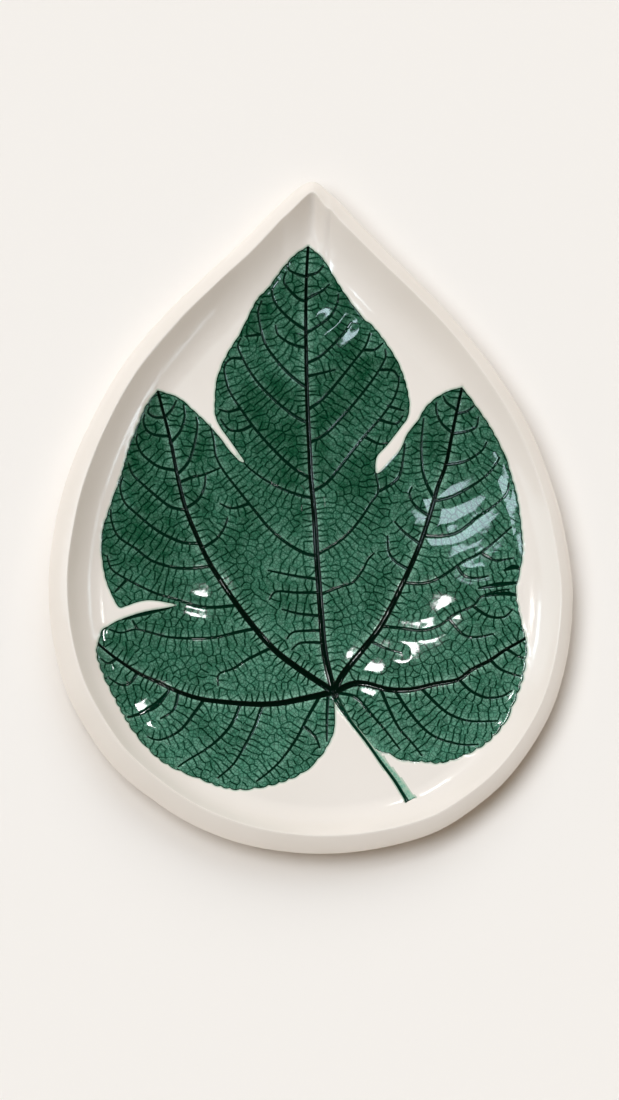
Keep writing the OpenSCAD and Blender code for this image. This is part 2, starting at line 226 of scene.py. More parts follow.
# Each stretch of the section is a Bezier curve, in distance from the outline and height.
under = bezier((UNDER_RUN, FOOT_H), (0.28 * UNDER_RUN, FOOT_H),
               (0.08 * UNDER_RUN, 0.53 * EDGE_Z), (0, EDGE_Z), UNDER_STEPS)
lip = bezier((0, EDGE_Z), (0.10 * RIM_W, EDGE_Z + 0.30 * RIM_DROP),
             (0.6 * RIM_W, plate_h - 0.26 * RIM_DROP), (RIM_W, plate_h), LIP_STEPS)
wall_line = bezier((RIM_W, plate_h), (RIM_W + 3.4, plate_h - 4),
                   (RIM_W + 8.4, FLOOR_Z + 1.4), (RIM_W + WALL_FADE, FLOOR_Z), WALL_DRAWN)
wall_run = run_along(wall_line)
wall_end = np.interp(FLOOR_IN, wall_line[:, 0], wall_run)
wall_stops = np.linspace(0, wall_end, WALL_STEPS + 1)
wall = np.column_stack([np.interp(wall_stops, wall_run, wall_line[:, k]) for k in (0, 1)])
profile = np.vstack([under, lip, wall])
# The wet sponge takes the hard corners off the lip.
softened = (profile[1:-1] * 2 + profile[:-2] + profile[2:]) / 4
profile[UNDER_STEPS + 2:-4] = softened[UNDER_STEPS + 1:-3]
sides = np.concatenate([
    np.zeros(UNDER_STEPS), np.linspace(0, 1, LIP_STEPS, endpoint=False), np.ones(WALL_STEPS + 1)])
rings = np.array([ring(*station, side) for station, side in zip(profile, sides)])
print("rings", rings.shape, "outline points", RIM_N)


# %% Height of the floor
def floor_height(points):
    """Height of the floor at some points: near the wall it still climbs a little."""
    away = points - HEART
    rim_angle = np.arctan2(rim[:, 1] - HEART[1], rim[:, 0] - HEART[0])
    angle = np.arctan2(away[:, 1], away[:, 0])
    far, lean, share = (np.interp(angle, rim_angle, values, period=2 * math.pi)
                        for values in (reach, slant, left_share))
    inset = (far - np.linalg.norm(away, axis=1)) * lean - LEFT_EXTRA * share
    return lowered(np.interp(inset, wall_line[:, 0], wall_line[:, 1]), share)


print("floor at the left of the leaf", floor_height(np.array([(-90.0, -55.0)])).round(2))

# %% [markdown]
# The leaf, drawn on the floor.
# A fig leaf has five lobes. Its edge is drawn in six stretches between the tips of the five main
# veins, so each stretch and the two veins beside it enclose one field of green glaze. The drawing
# is stretched to the floor that the solids have. The real edge is wavy where the margin is toothed,
# which a ripple along the curve gives.

# %% Edge of the leaf and main veins
JOINT = (10, -75)
EDGES = {
    "centre_right_blade": [
        (-1, 126), (5.5, 120), (11, 110.5), (16, 102.5), (22.5, 93.5), (26.5, 90), (31.5, 83.5),
        (37.5, 73.5), (41, 63.5), (42.5, 54), (41.5, 48), (38.5, 43.5), (33, 36), (28.5, 30.5),
        (28, 24), (30, 24), (34, 28.5), (38.5, 34), (41.5, 41), (46, 47), (49, 52.5), (53.5, 57),
        (58.5, 60), (65, 61.5)],
    "right_lobe_blade": [
        (65, 61.5), (69, 56), (73, 50), (76.5, 44.5), (80.5, 37), (84, 29), (86, 22), (88.5, 12.5),
        (90, 2), (91, -12), (89.5, -22), (88, -30), (89.5, -39.5), (90.5, -44.5), (92, -51)],
    "right_base_blade": [
        (92, -51), (92.5, -56), (91, -68), (88, -77.5), (83.5, -88.5), (78, -95.5), (72.5, -100),
        (63.5, -104.5), (55.5, -107), (48.5, -106.5), (40, -106), (33.5, -103), (28, -101),
        (25, -98), (18, -89), (12, -80), JOINT],
    "left_base_blade": [
        JOINT, (10.5, -86), (10, -93), (7.5, -99), (4, -104.5), (-2, -110.5), (-9.5, -114.5),
        (-19, -117.5), (-30, -119), (-39, -117.5), (-47, -114.5), (-57.5, -110.5), (-65, -106),
        (-72.5, -98), (-78, -90), (-84.5, -77.5), (-88.5, -69), (-91.5, -59.5), (-91, -54)],
    "left_lobe_blade": [
        (-91, -54), (-89, -47.5), (-84, -44), (-80, -42), (-71, -39), (-58.5, -36.5), (-61.5, -35),
        (-69, -34), (-74.5, -35), (-78.5, -36.5), (-82, -37), (-85.5, -30.5), (-88, -23),
        (-89.5, -12), (-89, -2.5), (-87, 4.5), (-85, 11), (-81, 23), (-77.5, 35.5), (-74, 44.5),
        (-71, 52), (-68.5, 56), (-65.5, 60)],
    "centre_left_blade": [
        (-65.5, 60), (-61, 59), (-56, 57), (-50.5, 52), (-44, 45.5), (-38.5, 39), (-35, 34),
        (-30.5, 29), (-28.5, 28.5), (-30.6, 32), (-35.3, 39), (-39, 44.5), (-41, 50), (-41, 57),
        (-40.5, 64), (-38.5, 71), (-35, 78.5), (-30.5, 86), (-27, 93.5), (-23, 101.5), (-18, 107),
        (-12.5, 115), (-7, 121.5), (-1, 126)],
}
MAIN_VEINS = {
    "midrib": [
        JOINT, (6, -57), (4, -32), (2.7, -14), (1.7, 4), (0.3, 20), (-0.3, 32), (-1, 46),
        (-1.5, 60), (-1.8, 75), (-2, 92), (-1.8, 110), (-1, 126)],
    "left_lobe_vein": [
        JOINT, (-6.5, -63.5), (-16.5, -55), (-26, -43.5), (-33, -33.5), (-38.5, -25), (-44, -15.5),
        (-48.5, -5.5), (-53.5, 7.5), (-57, 22), (-59.5, 35.5), (-62.5, 48.5), (-65.5, 60)],
    "right_lobe_vein": [
        JOINT, (14, -67), (22, -56.5), (29.5, -46.5), (35.5, -35), (41, -23), (46, -11), (49, -2.5),
        (52, 7.5), (54.5, 17), (58, 27), (60, 37), (62, 47.5), (65, 61.5)],
    "left_base_vein": [
        JOINT, (-3, -78), (-13, -80), (-23.5, -80.5), (-37, -79.5), (-47.5, -78), (-57.5, -74.5),
        (-65.5, -70.5), (-73, -67), (-82.5, -60.5), (-91, -54)],
    "right_base_vein": [
        JOINT, (18, -71.5), (24, -71.5), (33.5, -74), (43, -74), (53.5, -71.5), (63, -69.5),
        (69, -65), (76.5, -61), (83.5, -56), (92, -51)],
}
STEM = [JOINT, (12, -80), (17, -88), (24, -97.5), (30, -106.5), (36, -115), (41.5, -124.5)]
STEM_FOOT = [(40.6, -124.6), (43, -124.4), (45.6, -122.4)]
FIELDS = {
    "centre_right_blade": ("midrib", "right_lobe_vein"),
    "right_lobe_blade": ("right_lobe_vein", "right_base_vein"),
    "right_base_blade": ("right_base_vein", None),
    "left_base_blade": (None, "left_base_vein"),
    "left_lobe_blade": ("left_base_vein", "left_lobe_vein"),
    "centre_left_blade": ("left_lobe_vein", "midrib"),
}
LEAF_SHIFT = -2
FINE = 0.34
TOOTH = 5.6
# Places where the margin has no teeth, and how far they reach: the notches and the stalk.
CALM = ((34, 33, 16), (-34, 36, 16), (-70, -38, 20), (16, -86, 22))
leaf_x = (plate_w - 2 * FLOOR_IN - LEFT_EXTRA) / (DRAWN_W - 2 * FLOOR_IN - LEFT_EXTRA)
leaf_y = (plate_l - 2 * FLOOR_IN) / (DRAWN_L - 2 * FLOOR_IN)


def on_floor(points):
    """Drawn points in their place on the plate's floor."""
    p = np.array(points, float)
    middle = LEFT_EXTRA / 2
    return np.column_stack([middle + (p[:, 0] - middle) * leaf_x, LEAF_SHIFT + p[:, 1] * leaf_y])


def drawn_curve(points):
    """A smooth path through drawn points, on the plate's floor."""
    return on_floor(open_curve(points, FINE))


def rippled(path):
    """The edge of the leaf with its small teeth."""
    run = run_along(path)
    tooth = run / TOOTH + 0.35 * np.sin(run / 11) + 0.25 * np.sin(run / 4.3 + 1)
    wave = np.abs(np.sin(np.pi * tooth)) ** 0.8 - 0.6
    size = 0.28 + 0.45 * smooth_step(-path[:, 1], 20, 80)
    for x, y, calm in CALM:
        size = size * (1 - np.exp(-((path[:, 0] - x) ** 2 + (path[:, 1] - y) ** 2) / calm**2))
    ends = smooth_step(np.minimum(run, run[-1] - run), 0, 5)
    return path + left_of(path) * (size * wave * ends)[:, None]


edges = {name: rippled(drawn_curve(points)) for name, points in EDGES.items()}
veins = {name: drawn_curve(points) for name, points in MAIN_VEINS.items()}
stem, stem_foot = drawn_curve(STEM), drawn_curve(STEM_FOOT)
joint = on_floor([JOINT])[0]
print("leaf edge points", sum(map(len, edges.values())), "fit", round(leaf_x, 4), round(leaf_y, 4))

# %% [markdown]
# The side veins.
# They leave each main vein at a steady angle, curve up and end close to the margin. No rule gives
# their places, because each leaf has its own, so they are drawn too, a few points each. A few
# folds, where the leaf was crumpled, are drawn in the same way.

# %% Side veins
SIDE_VEINS = {
    "midrib_side_veins": [
        [(-1.6, 112), (-5, 113), (-9, 115), (-10, 118)],
        [(-1.9, 101), (-5, 102), (-9, 106), (-11.5, 110), (-10.5, 114)],
        [(-2, 88), (-6.5, 91), (-11, 95), (-15, 100), (-16.5, 105.5), (-14, 110)],
        [(-1.8, 80), (-6.5, 81), (-10.5, 83), (-14, 86), (-15, 90)],
        [(-1.5, 62), (-5, 64.5), (-10, 69), (-15.5, 75.5), (-19.5, 82), (-21.5, 89), (-22.5, 96),
         (-21, 101)],
        [(-1, 46), (-6.5, 49), (-14, 55), (-22, 63.5), (-27.5, 72), (-31, 80), (-30, 84)],
        [(0.2, 21), (-6.5, 25), (-14.5, 32.5), (-23.5, 43), (-30, 52.5), (-35, 61), (-37, 70),
         (-35.5, 74)],
        [(-25, 45), (-30, 42.5), (-35, 43), (-38.5, 47.5)],
        [(-30, 52.5), (-35, 51), (-39, 52)],
        [(-29, 75), (-34, 75), (-37, 72)],
        [(-21, 86), (-28, 85)],
        [(1, 12), (-6.5, 14), (-16.5, 18.5), (-25, 24.5), (-28, 27.5)],
        [(2.5, -14), (-3, -12.5), (-11, -7.5), (-18, -1), (-23.5, 6), (-30, 14.5), (-37, 24),
         (-40.5, 31), (-41.5, 38), (-43, 45)],
        [(-26.5, 9.5), (-33.5, 7.5), (-38.5, 9.5)],
        [(3.2, -24.5), (-6.5, -23), (-18, -20.5)],
        [(3.8, -30.5), (-6, -30.5), (-14.5, -30), (-17.5, -33.5)],
        [(4.5, -41), (-4.5, -40), (-12, -38)],
        [(5, -47.5), (-6.5, -48), (-10, -51)],
        [(5.5, -53), (-4, -53), (-8, -56)],
        [(-1.3, 112.5), (3, 114), (5.5, 117)],
        [(-1.6, 102), (2, 104), (5, 105.5), (8, 108.5)],
        [(-1.8, 86.5), (3.5, 90), (8.5, 94), (11.5, 100), (12, 104)],
        [(-1.7, 73), (3.5, 75.5), (9, 80.5), (14.5, 87), (17.5, 91.5)],
        [(-1.5, 67), (5, 68.5), (10.5, 70)],
        [(-1, 52), (5.5, 57), (12.5, 65.5), (18.5, 73.5), (23.5, 80.5), (25.5, 86.5)],
        [(-0.5, 37), (6.5, 41), (14, 49), (22, 59), (28, 67.5), (32, 75), (32, 79)],
        [(0.5, 15), (7, 19), (13.5, 27), (22, 38.5), (29.5, 47.5), (35, 55.5), (37.5, 62),
         (38, 67)],
        [(29.5, 47.5), (36.5, 45.5), (39.5, 49)],
        [(33.5, 53.5), (40, 51.5)],
        [(23.5, 39.5), (29.5, 36.5), (33, 37)],
        [(23, 79), (27.5, 79), (31, 82)],
        [(30, 70), (35.5, 69.5), (38, 66)],
        [(2.7, -13.5), (11.5, -8), (17, -3), (22, 3.5), (26, 10), (29, 15), (28, 23)],
        [(29, 15), (35, 18.5), (38, 22), (39.5, 28.5), (40.5, 36.5)],
        [(4, -31.5), (12.5, -28), (18, -26), (22, -21), (24.5, -16), (27, -13)]],
    "left_lobe_side_veins": [
        [(-62.5, 48.5), (-66.5, 48.5), (-69.5, 50), (-69, 52.5)],
        [(-60.7, 40), (-66.5, 40.5), (-70, 42.5), (-71.5, 46), (-71, 49)],
        [(-57.5, 24.5), (-64.5, 26), (-69, 29), (-72.5, 32.5), (-74.5, 37.5), (-74, 40.5)],
        [(-53.2, 6.6), (-59.5, 8), (-65, 12), (-71, 17.5), (-76, 22.5), (-78, 27.5)],
        [(-47.4, -8.3), (-54, -8), (-60.5, -5.5), (-67, -1.5), (-74.5, 5), (-79.5, 10),
         (-81.5, 16.5), (-80.5, 21)],
        [(-42.3, -18.4), (-50.5, -19.5), (-59, -19), (-68, -16), (-75, -10.5), (-82, -5.5),
         (-85, 1), (-85.5, 6.5)],
        [(-31.4, -36), (-40.5, -37), (-48, -36.5), (-57.5, -33.5), (-65.5, -31), (-71, -28.5),
         (-78.5, -24.5), (-85, -20), (-87, -14)],
        [(-78.5, -24.5), (-83.5, -30)],
        [(-23.6, -46.6), (-30.5, -48), (-40.5, -50.5), (-50.5, -51), (-60.5, -50.5), (-70, -48),
         (-75, -47), (-81, -48.5), (-86, -47)],
        [(-74, -47), (-76, -43)],
        [(-16.6, -55.1), (-27, -60.5), (-33, -64.5), (-39, -67), (-39.5, -72)],
        [(-62.5, 48.5), (-59.5, 52), (-57.5, 56)],
        [(-60.1, 36.9), (-56, 42), (-54, 48.5), (-54.5, 54)],
        [(-57, 22.8), (-52.5, 28), (-50, 35.5), (-48.5, 44), (-49, 48.5)],
        [(-56.4, 19), (-50.5, 21.5), (-46, 22.5), (-39, 25.5)],
        [(-53.4, 7.5), (-48, 11.5), (-45.5, 17), (-45, 22)],
        [(-46.5, -10.5), (-40.5, -6.5), (-37, -1.5), (-35.5, 3)]],
    "right_lobe_side_veins": [
        [(62.5, 50), (67, 51), (70, 53)],
        [(61, 41), (67, 42), (71, 44), (72, 48)],
        [(58, 27), (66, 28.5), (73, 33), (75.5, 37)],
        [(52.8, 10.7), (60, 12.5), (67.5, 16.5), (74.5, 21.5), (79, 26.5), (81, 30)],
        [(48, -5), (56.5, -5), (63.5, -3), (71.5, 3.5), (79, 9), (84, 14), (85, 18.5)],
        [(40, -26), (47, -26.5), (53, -25), (59.5, -21), (65.5, -16.5), (73, -12.5), (80, -6.5),
         (86, -1)],
        [(63, -19), (66, -23), (71, -24), (76, -23)],
        [(73, -12.5), (79, -16), (86.5, -15)],
        [(29.6, -45.5), (39, -46.5), (48, -47.5), (55.5, -45), (62, -40), (69.5, -36.5),
         (73, -32.5), (79, -30), (85, -29)],
        [(69.5, -36.5), (76, -41), (82.5, -41.5), (86.5, -38)],
        [(59, -42), (65, -49), (70.5, -50.5), (78, -49)],
        [(25.5, -52), (32, -55.5), (39, -57.5)],
        [(62.5, 52), (58.5, 55), (57, 58)],
        [(60.8, 41.5), (56.5, 45.5), (54, 51), (54, 55)],
        [(53, 12), (50, 18), (48, 25), (47.5, 36), (48.5, 48)],
        [(51, 4), (45, 8.5), (42.5, 13.5), (43.5, 17)],
        [(47, -8.5), (40.5, -3.5), (36, 1.5)],
        [(42, -20), (36, -16), (33.5, -11.5), (33, -5)]],
    "left_base_side_veins": [
        [(7.5, -77), (7, -86), (7, -97)],
        [(4, -77), (-1, -86), (-6, -96), (-12.5, -105.5), (-18.5, -111.5), (-23, -115)],
        [(-2, -91), (2, -95), (4, -100)],
        [(-20.5, -80.5), (-23.5, -89.5), (-27.5, -98), (-33, -107.5), (-39.5, -113.5)],
        [(-30, -80.3), (-33.5, -89), (-38.5, -95.5), (-45, -101), (-53, -106), (-56.5, -109)],
        [(-45.5, -78.3), (-50, -85), (-56, -92.5), (-64, -96.5), (-69.5, -95.5)],
        [(-60, -73.3), (-65, -81), (-71, -84.5), (-77, -86.5)],
        [(-56.5, -75), (-58.5, -83), (-64, -87)],
        [(-74, -66.3), (-77, -71), (-81, -72), (-86, -69.5)],
        [(-83, -60.2), (-86.5, -62.5), (-89.5, -61)]],
    "right_base_side_veins": [
        [(12, -75.5), (19.5, -77.5), (26, -85), (32.5, -93), (38, -100.5)],
        [(30, -73.5), (33.5, -82.5), (38, -91.5), (43.5, -98), (47.5, -103.5)],
        [(36, -74), (40.5, -81.5), (47.5, -90.5), (54, -95.5), (64, -98.5), (71.5, -98.5)],
        [(47, -73), (53.5, -80), (59.5, -85), (68, -88), (80, -88)],
        [(63.5, -69.3), (68.5, -74.5), (75, -77.5), (81.5, -77), (86, -74.5)],
        [(77, -60.7), (81.5, -65), (89.5, -68)],
        [(84, -55.7), (88, -58.5), (91, -60)]],
}
FOLDS = [
    [(72, -28.5), (80, -27), (88.5, -26)],
    [(75, -32), (82, -30.8), (89, -31.8)],
    [(83, -20.5), (87, -19), (90, -20)],
    [(-60, -73.5), (-65, -79.5), (-71, -84), (-78, -87)],
    [(-81, -42.6), (-71, -39.8), (-60, -37.2)],
]
side_veins = {name: [drawn_curve(line) for line in lines] for name, lines in SIDE_VEINS.items()}
all_sides = [path for lines in side_veins.values() for path in lines]
folds = [drawn_curve(line) for line in FOLDS]
print("side veins", len(all_sides), "folds", len(folds))

# %% [markdown]
# The fine net between the side veins.
# Close to a vein the net is a ladder of short rungs, and further off it closes into small cells.
# Such a net is what the borders between seeds give: seeds set in rows along the veins make rungs,
# and loose seeds fill the rest. The borders come from the circumcentres of a Delaunay triangulation
# of the seeds.

# %% Seeds of the net
RUNG_GAP = {"main": 2.4, "side": 2.8}
ROWS_OUT = {"main": (3.4, 7.6), "side": (2.6, 6.0)}
CELL = 2.7
NET_X, NET_LOW, NET_HIGH = 100, -130, 135
SEED_TRIES, SEED_CLEAR = 26000, 1.2
vein_paths = [("main", p) for p in veins.values()] + [("side", p) for p in all_sides]


def point_tree(points):
    """A search tree over points of the floor."""
    tree = kdtree.KDTree(len(points))
    for index, (x, y) in enumerate(points.tolist()):
        tree.insert((x, y, 0), index)
    tree.balance()
    return tree


vein_tree = point_tree(np.vstack([p for kind, p in vein_paths]))
vein_turns = np.vstack([directions(p) for kind, p in vein_paths])
seeds = np.empty((0, 2))


def vein_gap(point):
    """Distance from a point of the floor to the nearest drawn vein."""
    return vein_tree.find((point[0], point[1], 0))[2]


def try_seed(point, room):
    """Keeps a seed if no other one is within room of it."""
    global seeds
    if len(seeds) == 0 or np.min(np.sum((seeds - point) ** 2, axis=1)) > room * room:
        seeds = np.vstack([seeds, point])


steps_along = []
for kind, path in vein_paths:
    stride = max(1, round(RUNG_GAP[kind] / FINE))
    starts = np.arange(stride // 2, len(path), stride)
    steps_along.append(np.clip(starts + draws.integers(-2, 3, len(starts)), 0, len(path) - 1))
for row in (0, 1):
    for (kind, path), steps in zip(vein_paths, steps_along):
        normal = left_of(path)
        for k in steps:
            for hand in (-1, 1):
                out = ROWS_OUT[kind][row] * draws.uniform(0.85, 1.15)
                point = path[k] + hand * out * normal[k]
                if vein_gap(point) > 0.75 * out:
                    try_seed(point, 0.72 * RUNG_GAP[kind])
ladder_count = len(seeds)
loose_x, loose_y = (draws.uniform(low, high, SEED_TRIES)
                    for low, high in ((-NET_X, NET_X), (NET_LOW, NET_HIGH)))
for point in np.column_stack([loose_x, loose_y]):
    if vein_gap(point) > SEED_CLEAR:
        try_seed(point, CELL)
print("seeds", ladder_count, "in ladders,", len(seeds), "in all")

# %% Lines of the net
RUNG_HALF, CELL_HALF, RAIL_HALF = 0.14, 0.06, -0.02
SHORTEST, LONGEST = 0.4, 12
ON_VEIN, STEM_CLEAR, LADDER_REACH = 0.8, 6, 7
found = delaunay(seeds, [], [], 1e-5)
corner = np.array([v[:] for v in found[0]])
tris = np.array(found[2])
a, b, c = (corner[tris[:, i]] for i in range(3))
to_b, to_c = b - a, c - a
area = 2 * (to_b[:, 0] * to_c[:, 1] - to_b[:, 1] * to_c[:, 0])
ab, ac = (to_b**2).sum(axis=1), (to_c**2).sum(axis=1)
centre = a + np.column_stack([(to_c[:, 1] * ab - to_b[:, 1] * ac) / area,
                              (to_b[:, 0] * ac - to_c[:, 0] * ab) / area])
beside = {}
for index, tri in enumerate(tris.tolist()):
    for i in range(3):
        beside.setdefault(tuple(sorted((tri[i], tri[i - 1]))), []).append(index)
net, net_halves = [], []
for pair in beside.values():
    if len(pair) < 2:
        continue
    p, q = centre[pair[0]], centre[pair[1]]
    middle, length = (p + q) / 2, np.hypot(*(q - p))
    if not SHORTEST <= length <= LONGEST or abs(p[0]) > NET_X or abs(p[1]) > -NET_LOW:
        continue
    hits = sum(vein_gap(p + (q - p) * t) < ON_VEIN for t in (0.1, 0.3, 0.5, 0.7, 0.9))
    if hits >= 2 or np.min(np.hypot(*(stem[len(stem) // 2:] - middle).T)) < STEM_CLEAR:
        continue
    index, far = vein_tree.find((*middle, 0))[1:]
    level = abs(np.dot(vein_turns[index], q - p)) / length
    if level > 0.7 and far < LADDER_REACH and draws.uniform() < 0.5:
        continue
    bow = np.array([p[1] - q[1], q[0] - p[0]]) * draws.uniform(-0.1, 0.1)
    net.append(np.array([p, p + (q - p) * 0.33 + bow,
                         p + (q - p) * 0.67 + bow * draws.uniform(0.2, 1.1), q]))
    half = RAIL_HALF if far < LADDER_REACH else CELL_HALF
    half = RUNG_HALF if level < 0.6 and far < LADDER_REACH + 1 else half
    net_halves.append((half, half))
print("net lines", len(net))

# %% [markdown]
# One triangulated floor.
# The floor has to be fine where the print is and may be coarse where it is plain, and the edges of
# the leaf and of each vein have to run along edges of the mesh, so that each piece can be cut out
# cleanly. A constrained Delaunay triangulation does that: it takes the drawn outlines as they are
# and fills them with a fine lattice.

# %% Outlines on the floor
COARSE = 1.1
MAIN_HALF = (1.2, 0.3)
SIDE_HALF = (0.54, 0.14)
# The stem's half widths to both sides and that of its dark line, at some shares of its length.
STEM_SHARE = (0, 0.1, 0.26, 0.45, 0.7, 0.92, 1)
STEM_LEFT = (1.5, 1.25, 0.75, 0.65, 0.65, 0.75, 1.0)
STEM_RIGHT = (1.5, 1.25, 0.8, 1.0, 1.9, 3.0, 3.7)
STEM_LINE = (1.3, 1.0, 0.42, 0.34, 0.36, 0.42, 0.5)
KNOT_R, KNOT_POINTS = 3.1, 44


def strip(path, left, right):
    """Outline of a vein, from its half widths to both sides."""
    side = left_of(path)
    return np.vstack([path - side * left[:, None], (path + side * right[:, None])[::-1]])


def tapered(path, half):
    """Outline of a vein that narrows from its root to its tip."""
    width = np.linspace(*half, len(path))
    return strip(path, width, width)


def stem_share(values):
    """Values given at a few places of the stem, at each of its points."""
    return np.interp(np.linspace(0, 1, len(stem)), STEM_SHARE, values)


def counter_clockwise(loop):
    """The loop, turned round if it runs clockwise."""
    x, y = loop[:, 0], loop[:, 1]
    return loop if np.sum(x * np.roll(y, -1) - np.roll(x, -1) * y) > 0 else loop[::-1]


def field_outline(name):
    """Outline of one field of green glaze: a main vein, a stretch of edge, the next vein back."""
    first, second = FIELDS[name]
    parts = [veins[first][:-1]] if first else []
    parts.append(edges[name])
    if second:
        parts.append(veins[second][::-1][1:-1])
    return np.vstack(parts)


turn = np.linspace(0, 2 * math.pi, KNOT_POINTS, endpoint=False)
knot_r = KNOT_R * (1 + 0.10 * np.sin(3 * turn + 0.6) + 0.06 * np.sin(5 * turn))
knot = joint + np.column_stack([np.cos(turn), np.sin(turn)]) * knot_r[:, None]
stem_loop = strip(stem, stem_share(STEM_LEFT), stem_share(STEM_RIGHT))
leaf_loop = np.vstack([edge[:-1] for edge in edges.values()])
outlines = [("stalk_knot", knot), ("leaf_stem", stem_loop)]
outlines += [(name, tapered(path, MAIN_HALF)) for name, path in veins.items()]
outlines += [(name, tapered(path, SIDE_HALF))
             for name, lines in side_veins.items() for path in lines]
outlines += [(name, field_outline(name)) for name in FIELDS]
outlines = [(name, counter_clockwise(loop)) for name, loop in outlines]
floor_ring = rings[-1][:, :2]
drawn = np.vstack([floor_ring[::-1]] + [loop for name, loop in outlines])
print("outlines", len(outlines), "points", len(drawn))

# %% Lattice points
LATTICE_X, LATTICE_Y = (-100, 105), (-140, 140)


def within(loop, x, y):
    """True for each x on the level y that lies inside the loop."""
    p, q = loop, np.roll(loop, -1, axis=0)
    cut = (p[:, 1] > y) != (q[:, 1] > y)
    p, q = p[cut], q[cut]
    crossings = np.sort(p[:, 0] + (y - p[:, 1]) * (q[:, 0] - p[:, 0]) / (q[:, 1] - p[:, 1]))
    return np.searchsorted(crossings, x) % 2 == 1


def in_print(x, y):
    """True where the leaf or its stem is."""
    return within(leaf_loop, x, y) | within(stem_loop, x, y)


drawn_tree = point_tree(drawn)


def lattice(gap, room, wanted):
    """Rows of points, kept where wanted(x, y) says so and not too close to a drawn outline."""
    rows = []
    for number, y in enumerate(np.arange(*LATTICE_Y, gap * math.sqrt(3) / 2)):
        x = np.arange(*LATTICE_X, gap) + (number % 2) * gap / 2
        rows += [(u, y) for u in x[wanted(x, y)].tolist() if drawn_tree.find((u, y, 0))[2] > room]
    return np.array(rows)


fine = lattice(FINE, 0.62 * FINE, in_print)
coarse = lattice(COARSE, 0.6, lambda x, y: within(floor_ring, x, y) & ~in_print(x, y))
print("lattice points", len(fine), "fine,", len(coarse), "coarse")

# %% Triangulate
ends = np.cumsum([RIM_N] + [len(loop) for name, loop in outlines]).tolist()
loops = [list(range(start, end)) for start, end in zip([0] + ends, ends)]
found = delaunay(np.vstack([drawn, fine, coarse]), [], loops, 1e-4)
flat = np.array([v[:] for v in found[0]])
flat_tris = np.array(found[2])
names = [name for name, loop in outlines]
piece_names = list(dict.fromkeys(names))
label = np.full(len(flat_tris), -1)
for index, holders in enumerate(found[5]):
    if 0 in holders:
        inner = [h for h in holders if h > 0]
        label[index] = piece_names.index(names[min(inner) - 1]) if inner else len(piece_names)
keep = label >= 0
flat_tris, label = flat_tris[keep], label[keep]
print("triangles", len(flat_tris), dict(zip(piece_names, np.bincount(label).tolist())))

# %% [markdown]
# The whole skin of the plate in one mesh.
# The rings of the edge and the floor share the points of the innermost ring. Keeping them one mesh
# while the shape is formed means that no seam can open, and the pieces are cut apart only
# afterwards.

# %% Join the rings and the floor
WHITE_NODES = ["inside_glaze", "rim_glaze", "underside_glaze"]
RIM_END, LAST_RING = UNDER_STEPS + LIP_STEPS, len(rings) - 1
BANDS = [("underside_glaze", 0, UNDER_STEPS), ("rim_glaze", UNDER_STEPS, RIM_END),
         ("inside_glaze", RIM_END, LAST_RING)]
to_skin = np.empty(len(flat), int)
extra = []
for index, sources in enumerate(found[3]):
    on_ring = [s for s in sources if s < RIM_N]
    if on_ring:
        to_skin[index] = LAST_RING * RIM_N + (RIM_N - 1 - on_ring[0])
    else:
        to_skin[index] = len(rings) * RIM_N + len(extra)
        extra.append(index)
floor_points = np.column_stack([flat[extra], floor_height(flat[extra])])
skin_points = np.vstack([rings.reshape(-1, 3), floor_points])
i = np.arange(RIM_N)
j = (i + 1) % RIM_N
band_tris, band_label = [], []
skin_names = piece_names + WHITE_NODES
for name, low, high in BANDS:
    for k in range(low, high):
        a, b = k * RIM_N, (k + 1) * RIM_N
        band_tris += [np.column_stack([a + i, b + i, b + j]),
                      np.column_stack([a + i, b + j, a + j])]
        band_label += [np.full(2 * RIM_N, skin_names.index(name))]
skin_tris = np.vstack(band_tris + [to_skin[flat_tris]])
skin_label = np.concatenate(band_label + [label])
is_print = np.zeros(len(skin_points))
is_print[skin_tris[skin_label < len(piece_names)].ravel()] = 1
print("skin points", len(skin_points), "triangles", len(skin_tris))

# %% [markdown]
# Materials before shapes.
# Each finish is a node material. The glaze of the leaf takes its colour from how far a point is
# from the main veins, the side veins, the net and the margin. Those distances are kept on the mesh
# when it is formed, in millimetres, so the colour follows the relief. Small helpers keep the wiring
# short.


